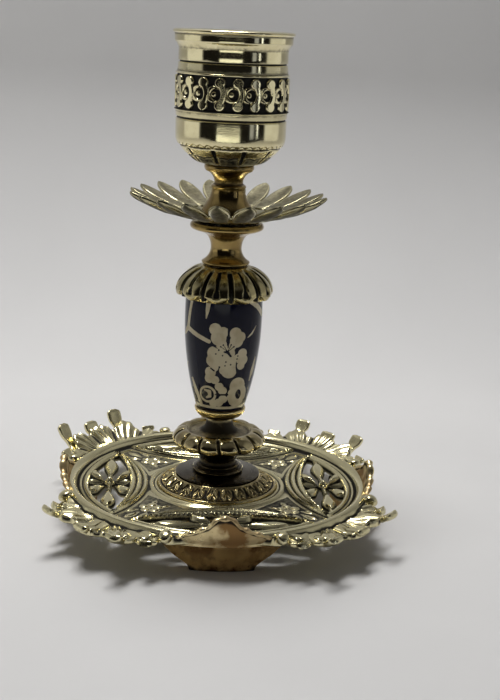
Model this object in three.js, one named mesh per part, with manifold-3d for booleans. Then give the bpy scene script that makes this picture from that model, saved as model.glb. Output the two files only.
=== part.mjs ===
// Brass candlestick: a glazed ceramic barrel and turned brass pieces, clamped by one tie rod on a
// pierced tray with four feet. Millimetres, +Z up. The origin is on the stem's axis, at table level.
// The tray's four lips point along +X, -X, +Y and -Y, and its four palmettes along the diagonals.

import * as THREE from 'three';
import { mergeVertices } from 'three/addons/utils/BufferGeometryUtils.js';
import Module from 'manifold-3d';

const wasm = await Module();
wasm.setup();

// ---- Driving dimensions ----------------------------------------------------------------------

const HEIGHT = 140;               // table to the socket's rim
const SEAT_GAP = 0.3;             // clearance between two pieces that sit on each other
const ROD_RADIUS = 2;             // M4 tie rod
const BORE_RADIUS = 2.35;         // clearance hole for the rod in each stem piece
const ROD_BOTTOM = 2.4;
const ROD_TOP = 108.2;

// Levels where one stem piece ends and the next begins
const TRAY_UNDERSIDE = 8.4;
const TRAY_FLOOR = 9.8;
const STEM_FOOT_TOP = 13.7;
const PEDESTAL_TOP = 22.3;
const KNOP_TOP = 30.9;
const FERRULE_TOP = 34.4;
const BARREL_TOP = 68.2;
const CAP_TOP = 75.9;
const SPOOL_TOP = 88;
const PAN_SEAT_TOP = 89.6;
const SOCKET_STEM_TOP = 104.1;

// Candle socket
const CANDLE_BORE_RADIUS = 12;    // takes a 22 mm household candle
const SOCKET_FLOOR = 110;
const SOCKET_RADIUS = 15.2;
const SOCKET_LIP_RADIUS = 16.6;

// Ceramic barrel
const BARREL_FOOT_RADIUS = 7.1;
const BARREL_BELLY_RADIUS = 11;
const BARREL_BORE_RADIUS = 3.4;

// Repeats around the axis
const PAN_PETALS = 20;
const CAP_LOBES = 10;
const KNOP_LOBES = 14;

// Drip pan
const PAN_RADIUS = 27.6;
const PAN_RIM_HEIGHT = 96.9;
const PAN_THICKNESS = 1.3;
const PETAL_ROOT_RADIUS = 15;
const PETAL_NOTCH = 0.3;          // how far the gap between two petals cuts in, as a share of the radius

// Tray
const RIDGE_RADIUS = 42.8;
const RIDGE_TOP = 12.4;
const TRAY_RADIUS = 44.6;
const MOULDING_RADIUS = 19.4;     // ring round the stem foot
const STEM_FOOT_RADIUS = 17.2;
const PANEL_HALF_LENGTH = 26;     // pointed ends of a side panel
const PANEL_NEAR = 20.2;          // the panel's edge nearest the stem
const WINDOW_NEAR = 25.6;         // pierced window, nearest and farthest radius
const WINDOW_FAR = 37.4;
const WINDOW_HALF_LENGTH = 23;
const PANEL_RELIEF = 1;           // height of the panel's raised edge over the floor
const ROSETTE_UNDERSIDE = TRAY_UNDERSIDE + 0.2;
const BOSS_TOP = TRAY_FLOOR + PANEL_RELIEF + 0.4;

// Lips, feet and palmettes
const LIP_WIDTH = 26;
const LIP_BOTTOM = 9.3;
const LIP_TOP = 18.5;
const LIP_THICKNESS = 1.7;
const LIP_FOOT_RADIUS = 43.5;
const FOOT_TOP_WIDTH = 31;
const FOOT_BOTTOM_WIDTH = 17.6;
const FOOT_THICKNESS = 3;
const FOOT_TOP_RADIUS = 41.6;
const FOOT_BOTTOM_RADIUS = 39.4;
const PALMETTE_UNDERSIDE = 9.1;
const PALMETTE_TOP = 11;
const PALMETTE_TIP_RADIUS = 56.3;
const PALMETTE_TIP_HEIGHT = 14.6;
const TIP_SPREAD = 13.5;          // degrees between the palmette's three curled tips
const TIP_WIDTH = 5.2;
const BUD_RADIUS = 2.1;
const BUD_ANGLE = 25.5;           // degrees from the palmette's middle to its end buds
const BUD_DISTANCE = 45.6;

// Fasteners and washers
const NUT_ACROSS_FLATS = 7;
const NUT_HEIGHT = 3.2;
const WASHER_RADIUS = 7;
const WASHER_THICKNESS = 0.9;
const SEAT_WASHER_THICKNESS = 0.8;

// Facets: sides of a turned piece, and steps along each curve of an outline
const FINE_SIDES = 32;
const PLAIN_SIDES = 24;
const TRAY_SIDES = 44;
const BOSS_SIDES = 8;
const CURVE_STEPS = 3;

// ---- Materials ---------------------------------------------------------------------------------

const finish = (color, roughness, metalness) => new THREE.MeshStandardMaterial({ color, roughness, metalness });
const polishedBrass = finish(0xb5a66a, 0.22, 1);
const darkBrass = finish(0x7a6336, 0.35, 1);
const dullBrass = finish(0x8a6d38, 0.5, 1);
const glaze = finish(0x14141f, 0.15, 0);
const cork = finish(0x9b7a50, 0.9, 0);
const steel = finish(0x8c8c90, 0.4, 1);

// ---- Shape tools -------------------------------------------------------------------------------

const radians = THREE.MathUtils.degToRad;

/** A closed outline in the half plane (radius, height), started at one point. */
const outlineFrom = (radius, height) => new THREE.Path().moveTo(radius, height);

/** Turns a closed outline, drawn anticlockwise with the radius to the right, about the Z axis. */
function turned(outline, sides = FINE_SIDES, steps = CURVE_STEPS) {
  const points = outline.getPoints(steps);
  const geometry = new THREE.LatheGeometry([...points, points[0].clone()], sides);
  return geometry.rotateX(Math.PI / 2);
}

/** A washer or plate between two levels. */
function ring(inner, outer, bottom, top, sides = PLAIN_SIDES) {
  const outline = outlineFrom(inner, bottom).lineTo(outer, bottom).lineTo(outer, top).lineTo(inner, top);
  return turned(outline, sides);
}

/** Moves every vertex by change(angle, radius, height), which returns the new [radius, height]. */
function carved(geometry, change) {
  const position = geometry.attributes.position;
  for (let i = 0; i < position.count; i += 1) {
    const angle = Math.atan2(position.getY(i), position.getX(i));
    const [radius, height] = change(angle, Math.hypot(position.getX(i), position.getY(i)), position.getZ(i));
    position.setXYZ(i, radius * Math.cos(angle), radius * Math.sin(angle), height);
  }
  return geometry;
}

/** 0 in the valley between two of count lobes and 1 on the lobe's crest. */
const lobe = (angle, count) => Math.abs(Math.cos(count * angle / 2));

/** A flat plate of an XY shape between two levels. */
function plate(shape, bottom, top, curveSegments = 5) {
  const options = { depth: top - bottom, bevelEnabled: false, curveSegments };
  const geometry = new THREE.ExtrudeGeometry(shape, options);
  return geometry.translate(0, 0, bottom);
}

/** Merges the shared vertices and hands the closed mesh over as a solid for joining and cutting. */
function solid(geometry) {
  geometry.deleteAttribute('normal');
  geometry.deleteAttribute('uv');
  const merged = mergeVertices(geometry, 1e-4);
  return new wasm.Manifold(new wasm.Mesh({
    numProp: 3,
    vertProperties: new Float32Array(merged.attributes.position.array),
    triVerts: new Uint32Array(merged.index.array),
  }));
}

/** A solid as a geometry again. */
function geometryOf(manifold) {
  const mesh = manifold.getMesh();
  const geometry = new THREE.BufferGeometry();
  geometry.setAttribute('position', new THREE.BufferAttribute(mesh.vertProperties, 3));
  geometry.setIndex(new THREE.BufferAttribute(mesh.triVerts, 1));
  geometry.computeVertexNormals();
  return geometry;
}

/** The same geometry, turned about the Z axis. */
const turnedTo = (geometry, degrees) => geometry.clone().rotateZ(radians(degrees));

/** Bends an upright plate (x along it, y up, z out of it) round the axis; faceRadius(y) is its outer face. */
function bentRound(geometry, faceRadius, thickness) {
  const position = geometry.attributes.position;
  for (let i = 0; i < position.count; i += 1) {
    const height = position.getY(i);
    const face = faceRadius(height);
    const angle = -Math.PI / 2 + position.getX(i) / face;
    const radius = face - thickness + position.getZ(i);
    position.setXYZ(i, radius * Math.cos(angle), radius * Math.sin(angle), height);
  }
  return geometry;
}

// ---- Socket, stem and barrel -------------------------------------------------------------------

function candleSocket() {
  const bottom = SOCKET_STEM_TOP + SEAT_GAP;
  const outline = outlineFrom(0, ROD_TOP + SEAT_GAP).lineTo(BORE_RADIUS, ROD_TOP + SEAT_GAP);
  outline.lineTo(BORE_RADIUS, bottom).lineTo(8.1, bottom);
  outline.quadraticCurveTo(12.4, bottom + 1, 13.9, 109).lineTo(14.1, 109.6);
  outline.lineTo(SOCKET_RADIUS - 0.2, 111.4).lineTo(SOCKET_RADIUS, 117).lineTo(15.45, 118.9);
  outline.lineTo(15.45, 128.8).lineTo(14.9, 130).lineTo(14.8, 136);
  outline.quadraticCurveTo(15, 137.6, SOCKET_LIP_RADIUS, HEIGHT - 0.7);
  outline.quadraticCurveTo(SOCKET_LIP_RADIUS, HEIGHT, SOCKET_LIP_RADIUS - 0.9, HEIGHT);
  outline.lineTo(CANDLE_BORE_RADIUS + 1.6, HEIGHT - 0.2).lineTo(CANDLE_BORE_RADIUS, HEIGHT - 2);
  outline.lineTo(CANDLE_BORE_RADIUS, SOCKET_FLOOR).lineTo(0, SOCKET_FLOOR);
  const points = outline.getPoints(CURVE_STEPS);
  return new THREE.LatheGeometry(points, FINE_SIDES).rotateX(Math.PI / 2);
}

function socketStem() {
  const bottom = PAN_SEAT_TOP + SEAT_GAP;
  const outline = outlineFrom(BORE_RADIUS, bottom).lineTo(7.4, bottom).lineTo(7.5, bottom + 1);
  outline.quadraticCurveTo(6.6, 92.8, 6, 93.4).quadraticCurveTo(4.4, 95.4, 4.7, 97.2);
  outline.lineTo(5.1, 98).lineTo(4.3, 98.6).quadraticCurveTo(3.9, 100.4, 5.4, 101.8);
  outline.lineTo(6.9, 102.4).lineTo(6.9, SOCKET_STEM_TOP).lineTo(BORE_RADIUS, SOCKET_STEM_TOP);
  return turned(outline, PLAIN_SIDES);
}

/** Height of the pan's upper face at a radius, before the petals are cut. */
function panHeight(radius) {
  const reach = THREE.MathUtils.clamp((radius - 8) / (PAN_RADIUS - 8), 0, 1);
  return PAN_SEAT_TOP + (PAN_RIM_HEIGHT - PAN_SEAT_TOP) * reach ** 1.25;
}

function dripPan() {
  const radii = [8, PETAL_ROOT_RADIUS, 22, PAN_RADIUS];
  const seatBottom = SPOOL_TOP + SEAT_GAP;
  const outline = outlineFrom(BORE_RADIUS, seatBottom);
  radii.forEach((radius) => outline.lineTo(radius, panHeight(radius) - PAN_THICKNESS));
  radii.reverse().forEach((radius) => outline.lineTo(radius, panHeight(radius)));
  outline.lineTo(BORE_RADIUS, PAN_SEAT_TOP);
  return carved(turned(outline, PAN_PETALS * 4, 1), (angle, radius, height) => {
    const along = THREE.MathUtils.clamp((radius - PETAL_ROOT_RADIUS) / (PAN_RADIUS - PETAL_ROOT_RADIUS), 0, 1);
    const valley = 1 - lobe(angle, PAN_PETALS);
    return [radius * (1 - PETAL_NOTCH * along * valley), height - along * valley];
  });
}

function panSpool() {
  const bottom = CAP_TOP + SEAT_GAP;
  const outline = outlineFrom(BORE_RADIUS, bottom).lineTo(6.6, bottom).lineTo(6.7, bottom + 0.8);
  outline.quadraticCurveTo(4.3, 78.8, 4.35, 80.6).quadraticCurveTo(4.4, 84, 6.6, 85.2);
  outline.lineTo(9.4, 86.2).quadraticCurveTo(10.6, 87, 9.9, SPOOL_TOP).lineTo(BORE_RADIUS, SPOOL_TOP);
  return turned(outline, PLAIN_SIDES);
}

function barrelCap() {
  const ceiling = BARREL_TOP + SEAT_GAP + SEAT_WASHER_THICKNESS + SEAT_GAP;
  const recess = BARREL_BELLY_RADIUS + 0.7;
  const outline = outlineFrom(BORE_RADIUS, ceiling).lineTo(recess, ceiling).lineTo(recess, 67.3);
  outline.lineTo(12.6, 66.7).quadraticCurveTo(13.9, 67.4, 13.8, 69);
  outline.quadraticCurveTo(13.6, 73.2, 9, 75).lineTo(6.6, CAP_TOP).lineTo(BORE_RADIUS, CAP_TOP);
  return carved(turned(outline, CAP_LOBES * 4), (angle, radius, height) => {
    const outside = THREE.MathUtils.smoothstep(radius, recess + 0.2, 13.5);
    const valley = 1 - lobe(angle, CAP_LOBES);
    return [radius * (1 - 0.06 * outside * valley), height + (height < 68 ? outside * valley : 0)];
  });
}

function ceramicBarrel() {
  const bottom = FERRULE_TOP + SEAT_GAP;
  const outline = outlineFrom(BARREL_BORE_RADIUS, bottom).lineTo(BARREL_FOOT_RADIUS, bottom);
  outline.quadraticCurveTo(9.4, 42.5, 10.4, 50.7).quadraticCurveTo(11.1, 57.5, BARREL_BELLY_RADIUS, 64);
  outline.lineTo(BARREL_BELLY_RADIUS - 0.1, BARREL_TOP).lineTo(BARREL_BORE_RADIUS, BARREL_TOP);
  return turned(outline, FINE_SIDES, 4);
}

function barrelFerrule() {
  const bottom = KNOP_TOP + SEAT_GAP;
  const recessFloor = FERRULE_TOP - SEAT_WASHER_THICKNESS - SEAT_GAP;
  const outline = outlineFrom(BORE_RADIUS, bottom).lineTo(4.2, bottom);
  outline.quadraticCurveTo(7, 32.2, 7.4, 33.9).lineTo(7.3, FERRULE_TOP).lineTo(6.6, FERRULE_TOP);
  outline.lineTo(6.5, recessFloor).lineTo(BORE_RADIUS, recessFloor);
  return turned(outline, PLAIN_SIDES);
}

function knop() {
  const bottom = PEDESTAL_TOP + SEAT_GAP;
  const outline = outlineFrom(BORE_RADIUS, bottom).lineTo(10.4, bottom);
  outline.quadraticCurveTo(13.6, 22.8, 13.5, 25).quadraticCurveTo(13.1, 27.6, 9.8, 27.9);
  outline.lineTo(9, 27.4).quadraticCurveTo(5, 26.7, 3.9, 28.6);
  outline.lineTo(3.7, KNOP_TOP).lineTo(BORE_RADIUS, KNOP_TOP);
  return carved(turned(outline, KNOP_LOBES * 3), (angle, radius, height) => {
    const outside = THREE.MathUtils.smoothstep(radius, 9.8, 13);
    return [radius * (1 - 0.05 * outside * (1 - lobe(angle, KNOP_LOBES))), height];
  });
}

function pedestal() {
  const bottom = STEM_FOOT_TOP + SEAT_GAP;
  const outline = outlineFrom(BORE_RADIUS, bottom).lineTo(12, bottom).lineTo(12.3, bottom + 0.4);
  outline.lineTo(8, 14.9).quadraticCurveTo(7.3, 14.7, 7.2, 15.5).quadraticCurveTo(7.2, 16.4, 6.2, 16.4);
  outline.quadraticCurveTo(4.6, 18.4, 6.6, 20.4).lineTo(8.6, PEDESTAL_TOP);
  outline.lineTo(BORE_RADIUS, PEDESTAL_TOP);
  return turned(outline, PLAIN_SIDES);
}

function stemFoot() {
  const bottom = TRAY_FLOOR + SEAT_GAP;
  const outline = outlineFrom(BORE_RADIUS, bottom).lineTo(STEM_FOOT_RADIUS, bottom);
  outline.lineTo(STEM_FOOT_RADIUS, 10.9).lineTo(16.6, 11.3);
  outline.quadraticCurveTo(14.4, 12, 12.6, STEM_FOOT_TOP).lineTo(BORE_RADIUS, STEM_FOOT_TOP);
  return turned(outline, FINE_SIDES);
}

// ---- Rod, nut and washers ----------------------------------------------------------------------

function tieRod() {
  const chamfer = 0.4;
  const outline = outlineFrom(0, ROD_BOTTOM).lineTo(ROD_RADIUS - chamfer, ROD_BOTTOM);
  outline.lineTo(ROD_RADIUS, ROD_BOTTOM + chamfer).lineTo(ROD_RADIUS, ROD_TOP - chamfer);
  outline.lineTo(ROD_RADIUS - chamfer, ROD_TOP).lineTo(0, ROD_TOP);
  return new THREE.LatheGeometry(outline.getPoints(1), 12).rotateX(Math.PI / 2);
}

const washerTop = TRAY_UNDERSIDE - SEAT_GAP;
const nutTop = washerTop - WASHER_THICKNESS - SEAT_GAP;

function baseNut() {
  const corner = NUT_ACROSS_FLATS / Math.sqrt(3);
  const hexagon = new THREE.Shape();
  for (let i = 0; i < 6; i += 1) {
    const angle = radians(60 * i);
    hexagon[i ? 'lineTo' : 'moveTo'](corner * Math.cos(angle), corner * Math.sin(angle));
  }
  hexagon.holes.push(new THREE.Path().absarc(0, 0, BORE_RADIUS, 0, 2 * Math.PI));
  return plate(hexagon, nutTop - NUT_HEIGHT, nutTop);
}

// ---- Tray --------------------------------------------------------------------------------------

/** The round part of the tray: floor, ridge, and the ring round the stem foot. */
function trayDish() {
  const outline = outlineFrom(BORE_RADIUS, TRAY_UNDERSIDE).lineTo(40.6, TRAY_UNDERSIDE);
  outline.lineTo(43.5, TRAY_UNDERSIDE + 1).lineTo(TRAY_RADIUS, 10).lineTo(TRAY_RADIUS, 11.2);
  outline.quadraticCurveTo(TRAY_RADIUS - 0.4, RIDGE_TOP, RIDGE_RADIUS, RIDGE_TOP);
  outline.quadraticCurveTo(41.6, RIDGE_TOP, 41, TRAY_FLOOR + 0.2);
  outline.lineTo(MOULDING_RADIUS + 0.4, TRAY_FLOOR).lineTo(MOULDING_RADIUS, 10.8);
  outline.lineTo(18.2, 10.9).lineTo(STEM_FOOT_RADIUS + 0.4, TRAY_FLOOR).lineTo(BORE_RADIUS, TRAY_FLOOR);
  return turned(outline, TRAY_SIDES, 2);
}

/** Radius of the arc through (near, 0) and (end.x, +-end.y), whose centre lies outwards on +X. */
const arcRadius = (near, end) => ((end.x - near) ** 2 + end.y ** 2) / (2 * (end.x - near));

/** A closed almond between an arc that bows towards the stem and one that bows away from it. */
function almond(near, far, halfLength) {
  const end = new THREE.Vector2(Math.sqrt(far ** 2 - halfLength ** 2), halfLength);
  const radius = arcRadius(near, end);
  const centre = near + radius;
  const half = Math.asin(halfLength / radius);
  const outer = Math.asin(halfLength / far);
  const shape = new THREE.Shape();
  shape.absarc(centre, 0, radius, Math.PI - half, Math.PI + half, false);
  shape.absarc(0, 0, far, -outer, outer, false);
  return shape;
}

/** A pointed leaf from (x, y), aimed at degrees from +X. */
function leaf(x, y, degrees, length, width) {
  const shape = new THREE.Shape();
  shape.moveTo(0, -0.4).quadraticCurveTo(length * 0.55, -width, length, 0);
  shape.quadraticCurveTo(length * 0.55, width, 0, 0.4).lineTo(0, -0.4);
  const geometry = plate(shape, ROSETTE_UNDERSIDE, TRAY_FLOOR + PANEL_RELIEF, 2);
  return geometry.rotateZ(radians(degrees)).translate(x, y, 0);
}

/** The eight-leaved rosette that fills a window, with a boss at its middle. */
function rosette() {
  const centre = (WINDOW_NEAR + WINDOW_FAR) / 2;
  const leaves = [
    [0, 6.6, 2.4],
    [52, 8.6, 2.8],
    [90, 22.6, 3.4],
    [128, 8.6, 2.8],
  ];
  const boss = new THREE.CylinderGeometry(1.2, 2.2, BOSS_TOP - ROSETTE_UNDERSIDE, BOSS_SIDES);
  let whole = solid(boss.rotateX(Math.PI / 2).translate(centre, 0, (BOSS_TOP + ROSETTE_UNDERSIDE) / 2));
  for (const [degrees, length, width] of leaves) {
    for (const turn of [degrees, degrees + 180]) {
      whole = whole.add(solid(leaf(centre, 0, turn, length, width)));
    }
  }
  return whole;
}

/** Radius of a lip's outer face: it leans out and bulges as it rises. */
function lipFace(height) {
  const rise = (height - LIP_BOTTOM) / (LIP_TOP - LIP_BOTTOM);
  return LIP_FOOT_RADIUS + 0.9 * Math.sin(rise * Math.PI) + 2.2 * rise;
}

/** A lip's scalloped outline: a tall arch in the middle that runs out in low shoulders. */
function lip() {
  const half = LIP_WIDTH / 2;
  const rightSide = [
    [half, 11.4],
    [half * 0.78, 12.8],
    [half * 0.55, 14.3],
    [half * 0.38, 15.6],
    [half * 0.27, 17.3],
    [half * 0.12, 18.3],
  ];
  const shape = new THREE.Shape().moveTo(-half, LIP_BOTTOM);
  for (let i = 1; i <= 8; i += 1) {
    shape.lineTo(-half + i * LIP_WIDTH / 8, LIP_BOTTOM);
  }
  rightSide.forEach(([x, height]) => shape.lineTo(x, height));
  shape.lineTo(0, LIP_TOP);
  rightSide.reverse().forEach(([x, height]) => shape.lineTo(-x, height));
  const flat = new THREE.ExtrudeGeometry(shape, { depth: LIP_THICKNESS, bevelEnabled: false });
  return bentRound(flat, lipFace, LIP_THICKNESS);
}

/** A point of the palmette at degrees from its middle, which points along +X. */
const around = (degrees, radius) => new THREE.Vector2(
  radius * Math.cos(radians(degrees)),
  radius * Math.sin(radians(degrees)),
);

/** The palmette's flat leaf: half its outline as [degrees from the middle, radius], mirrored. */
function palmetteLeaf() {
  const half = [
    [29, 43.8],
    [26.5, 46.4],
    [22.6, 44.8],
    [20.6, 48.4],
    [17.6, 49.2],
    [15.6, 47.8],
    [13.6, 52.4],
    [9.8, 52.8],
    [6.6, 49.2],
    [3.4, 53],
  ];
  const inner = TRAY_RADIUS - 1.6;
  const shape = new THREE.Shape();
  const root = [29, 14.5, 0, -14.5, -29].map((degrees) => [degrees, inner]);
  const mirrored = half.map(([degrees, radius]) => [-degrees, radius]);
  const edge = [...root, ...mirrored, [0, 53.4], ...half.reverse()];
  shape.setFromPoints(edge.map(([degrees, radius]) => around(degrees, radius)));
  return plate(shape, PALMETTE_UNDERSIDE, PALMETTE_TOP);
}

/** One curled tip: a strap whose side outline sweeps up, at degrees from the palmette's middle. */
function palmetteTip(degrees) {
  const side = new THREE.Shape().moveTo(47, PALMETTE_UNDERSIDE).lineTo(52, PALMETTE_UNDERSIDE + 0.2);
  side.quadraticCurveTo(55.2, 10.4, PALMETTE_TIP_RADIUS, PALMETTE_TIP_HEIGHT);
  side.lineTo(PALMETTE_TIP_RADIUS - 1.9, PALMETTE_TIP_HEIGHT);
  side.quadraticCurveTo(53.6, 12.6, 51, PALMETTE_TOP + 0.2).lineTo(47, PALMETTE_TOP);
  const strap = new THREE.ExtrudeGeometry(side, { depth: TIP_WIDTH, bevelEnabled: false, curveSegments: 3 });
  return strap.rotateX(Math.PI / 2).translate(0, TIP_WIDTH / 2, 0).rotateZ(radians(degrees));
}

/** The bud that ends the palmette on each side. */
function palmetteBud(degrees) {
  const centre = around(degrees, BUD_DISTANCE);
  const bud = new THREE.SphereGeometry(BUD_RADIUS, 8, 5);
  return bud.translate(centre.x, centre.y, (PALMETTE_UNDERSIDE + PALMETTE_TOP) / 2 + 0.2);
}

function baseTray() {
  const edge = almond(PANEL_NEAR, RIDGE_RADIUS - 2.6, PANEL_HALF_LENGTH);
  const window = almond(WINDOW_NEAR, WINDOW_FAR, WINDOW_HALF_LENGTH);
  const edgePlate = plate(edge, TRAY_FLOOR - 0.5, TRAY_FLOOR + PANEL_RELIEF);
  const windowCut = plate(window, TRAY_UNDERSIDE - 1, RIDGE_TOP);
  const leaves = geometryOf(rosette());
  let tray = solid(trayDish());
  for (let side = 0; side < 4; side += 1) {
    const degrees = 90 * side;
    tray = tray.add(solid(turnedTo(edgePlate, degrees))).subtract(solid(turnedTo(windowCut, degrees)));
    tray = tray.add(solid(turnedTo(leaves, degrees))).add(solid(turnedTo(lip(), degrees)));
    const corner = degrees + 45;
    tray = tray.add(solid(turnedTo(palmetteLeaf(), corner)));
    for (const tip of [-TIP_SPREAD, 0, TIP_SPREAD]) {
      tray = tray.add(solid(turnedTo(palmetteTip(tip), corner)));
    }
    for (const bud of [-BUD_ANGLE, BUD_ANGLE]) {
      tray = tray.add(solid(turnedTo(palmetteBud(bud), corner)));
    }
  }
  return geometryOf(tray);
}

/** A bracket foot that stands under the lip on -Y: wide at the tray, ogee ends, narrow at the table. */
function trayFoot() {
  const top = TRAY_UNDERSIDE - SEAT_GAP;
  const wide = FOOT_TOP_WIDTH / 2;
  const narrow = FOOT_BOTTOM_WIDTH / 2;
  const shape = new THREE.Shape().moveTo(-narrow, 0).lineTo(0, 0).lineTo(narrow, 0);
  shape.bezierCurveTo(narrow + 2.6, 0.4, narrow + 1.4, 5, wide, top - 0.8).lineTo(wide, top);
  for (let i = 1; i < 6; i += 1) {
    shape.lineTo(wide - i * FOOT_TOP_WIDTH / 6, top);
  }
  shape.lineTo(-wide, top).lineTo(-wide, top - 0.8);
  shape.bezierCurveTo(-narrow - 1.4, 5, -narrow - 2.6, 0.4, -narrow, 0);
  const options = { depth: FOOT_THICKNESS, bevelEnabled: false, curveSegments: 5 };
  const flat = new THREE.ExtrudeGeometry(shape, options);
  const faceRadius = (height) => THREE.MathUtils.lerp(FOOT_BOTTOM_RADIUS, FOOT_TOP_RADIUS, height / top);
  return bentRound(flat, faceRadius, FOOT_THICKNESS);
}

// ---- Assembly ----------------------------------------------------------------------------------

const candlestick = new THREE.Group();

function place(name, geometry, material) {
  const mesh = new THREE.Mesh(geometry, material.clone());
  mesh.name = name;
  candlestick.add(mesh);
  return mesh;
}

place('candle_socket', candleSocket(), polishedBrass);
place('socket_stem', socketStem(), darkBrass);
place('drip_pan', dripPan(), polishedBrass);
place('pan_spool', panSpool(), darkBrass);
place('barrel_cap', barrelCap(), polishedBrass);
const upperSeat = BARREL_TOP + SEAT_GAP;
place('upper_seat_washer', ring(BORE_RADIUS + 0.6, 9.6, upperSeat, upperSeat + SEAT_WASHER_THICKNESS), cork);
place('ceramic_barrel', ceramicBarrel(), glaze);
const lowerSeat = FERRULE_TOP - SEAT_WASHER_THICKNESS;
place('lower_seat_washer', ring(BORE_RADIUS + 0.6, 6.1, lowerSeat, FERRULE_TOP), cork);
place('barrel_ferrule', barrelFerrule(), polishedBrass);
place('knop', knop(), polishedBrass);
place('pedestal', pedestal(), darkBrass);
place('stem_foot', stemFoot(), darkBrass);
place('base_tray', baseTray(), polishedBrass);
place('tie_rod', tieRod(), steel);
place('base_washer', ring(BORE_RADIUS, WASHER_RADIUS, washerTop - WASHER_THICKNESS, washerTop), steel);
place('base_nut', baseNut(), steel);
['foot_front', 'foot_right', 'foot_back', 'foot_left'].forEach((name, side) => {
  place(name, trayFoot(), dullBrass).rotation.z = radians(90 * side);
});

export default candlestick;
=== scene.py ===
"""Brass candlestick with a painted ceramic barrel, on a pierced tray with four feet.

Each sub-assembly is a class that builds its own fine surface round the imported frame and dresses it.
Outlines are drawn in millimetres and handed to Blender in metres. The stem stands on the Z axis.
"""

import logging
import math
from dataclasses import dataclass, field
from enum import Enum
from typing import Any, Callable, Optional, Sequence, Union

import bpy
import numpy as np
from mathutils import Euler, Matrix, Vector


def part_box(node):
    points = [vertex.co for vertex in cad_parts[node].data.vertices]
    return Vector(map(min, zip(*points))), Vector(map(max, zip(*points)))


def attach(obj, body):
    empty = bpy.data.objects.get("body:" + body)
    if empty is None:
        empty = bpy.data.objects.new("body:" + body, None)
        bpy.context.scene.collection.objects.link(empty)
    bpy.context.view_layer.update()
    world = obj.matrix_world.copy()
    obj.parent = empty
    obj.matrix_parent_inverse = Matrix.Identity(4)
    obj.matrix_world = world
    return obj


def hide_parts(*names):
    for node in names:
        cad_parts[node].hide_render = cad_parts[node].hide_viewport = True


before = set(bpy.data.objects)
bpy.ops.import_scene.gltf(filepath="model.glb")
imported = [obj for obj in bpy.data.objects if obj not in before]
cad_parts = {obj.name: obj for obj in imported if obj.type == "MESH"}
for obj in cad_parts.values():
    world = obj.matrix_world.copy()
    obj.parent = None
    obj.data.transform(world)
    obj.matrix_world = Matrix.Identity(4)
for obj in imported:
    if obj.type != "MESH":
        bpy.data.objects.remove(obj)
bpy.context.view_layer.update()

MM = 0.001
TURN = 2 * math.pi
SIDEWAYS = np.array([0.0, 1.0, 0.0])
HOLLOW_AND_SHADE = "hollow"      # attribute: how deep a point lies in a recess, painted shade on the feet and the cup's flutes included, 0 to 1
CREST_AND_HIGHLIGHT = "crest"        # attribute: how far a point stands proud, the painted highlight across the feet included, 0 to 1
Array = np.ndarray
Relief = Callable[[Array, Array, Array], Array]
Tree = bpy.types.NodeTree
Socket = bpy.types.NodeSocket
Fed = Union[Socket, float, Sequence[float]]     # what a node's socket can take
log = logging.getLogger("candlestick")


# ---- Shape tools -------------------------------------------------------------------------------

def smooth(value: Array, low: float, high: float) -> Array:
    """A soft step.

    Args:
        value: what is tested.
        low: where the step starts.
        high: where it has reached 1; lower than low for a step that falls.

    Returns:
        0 to 1, the same shape as value.
    """
    share = np.clip((value - low) / (high - low), 0, 1)
    return share * share * (3 - 2 * share)


def bump(value: Array, centre: float, width: float) -> Array:
    """A round ridge.

    Args:
        value: distance across the ridge.
        centre: where its crest lies.
        width: from one foot to the other.

    Returns:
        A half circle's height, 0 outside the ridge and 1 on its crest.
    """
    across = np.clip(2 * (value - centre) / width, -1, 1)
    return np.sqrt(1 - across * across)


def folded(angle: Array, count: int, start: float = 0.0) -> Array:
    """The signed angle to the nearest of count even directions.

    Args:
        angle: radians.
        count: how many directions go round.
        start: one of them, in radians.

    Returns:
        Radians, between -pi/count and pi/count.
    """
    pitch = TURN / count
    return (angle - start + pitch / 2) % pitch - pitch / 2


def blurred(values: Array, reach: int, axis: int, wrap: bool) -> Array:
    """Smooths values with a bell of the given reach.

    Args:
        values: what is smoothed.
        reach: the bell's standard deviation, in steps.
        axis: the axis it runs along.
        wrap: whether that axis closes on itself.

    Returns:
        The smoothed values.
    """
    span = 3 * reach
    offsets = np.arange(-span, span + 1)
    weights = np.exp(-0.5 * (offsets / reach) ** 2)
    pad = [(0, 0)] * values.ndim
    pad[axis] = (span, span)
    padded = np.pad(values, pad, mode="wrap" if wrap else "edge")
    count = values.shape[axis]
    total = sum(w * np.take(padded, range(k, k + count), axis) for k, w in enumerate(weights))
    return total / weights.sum()


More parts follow.
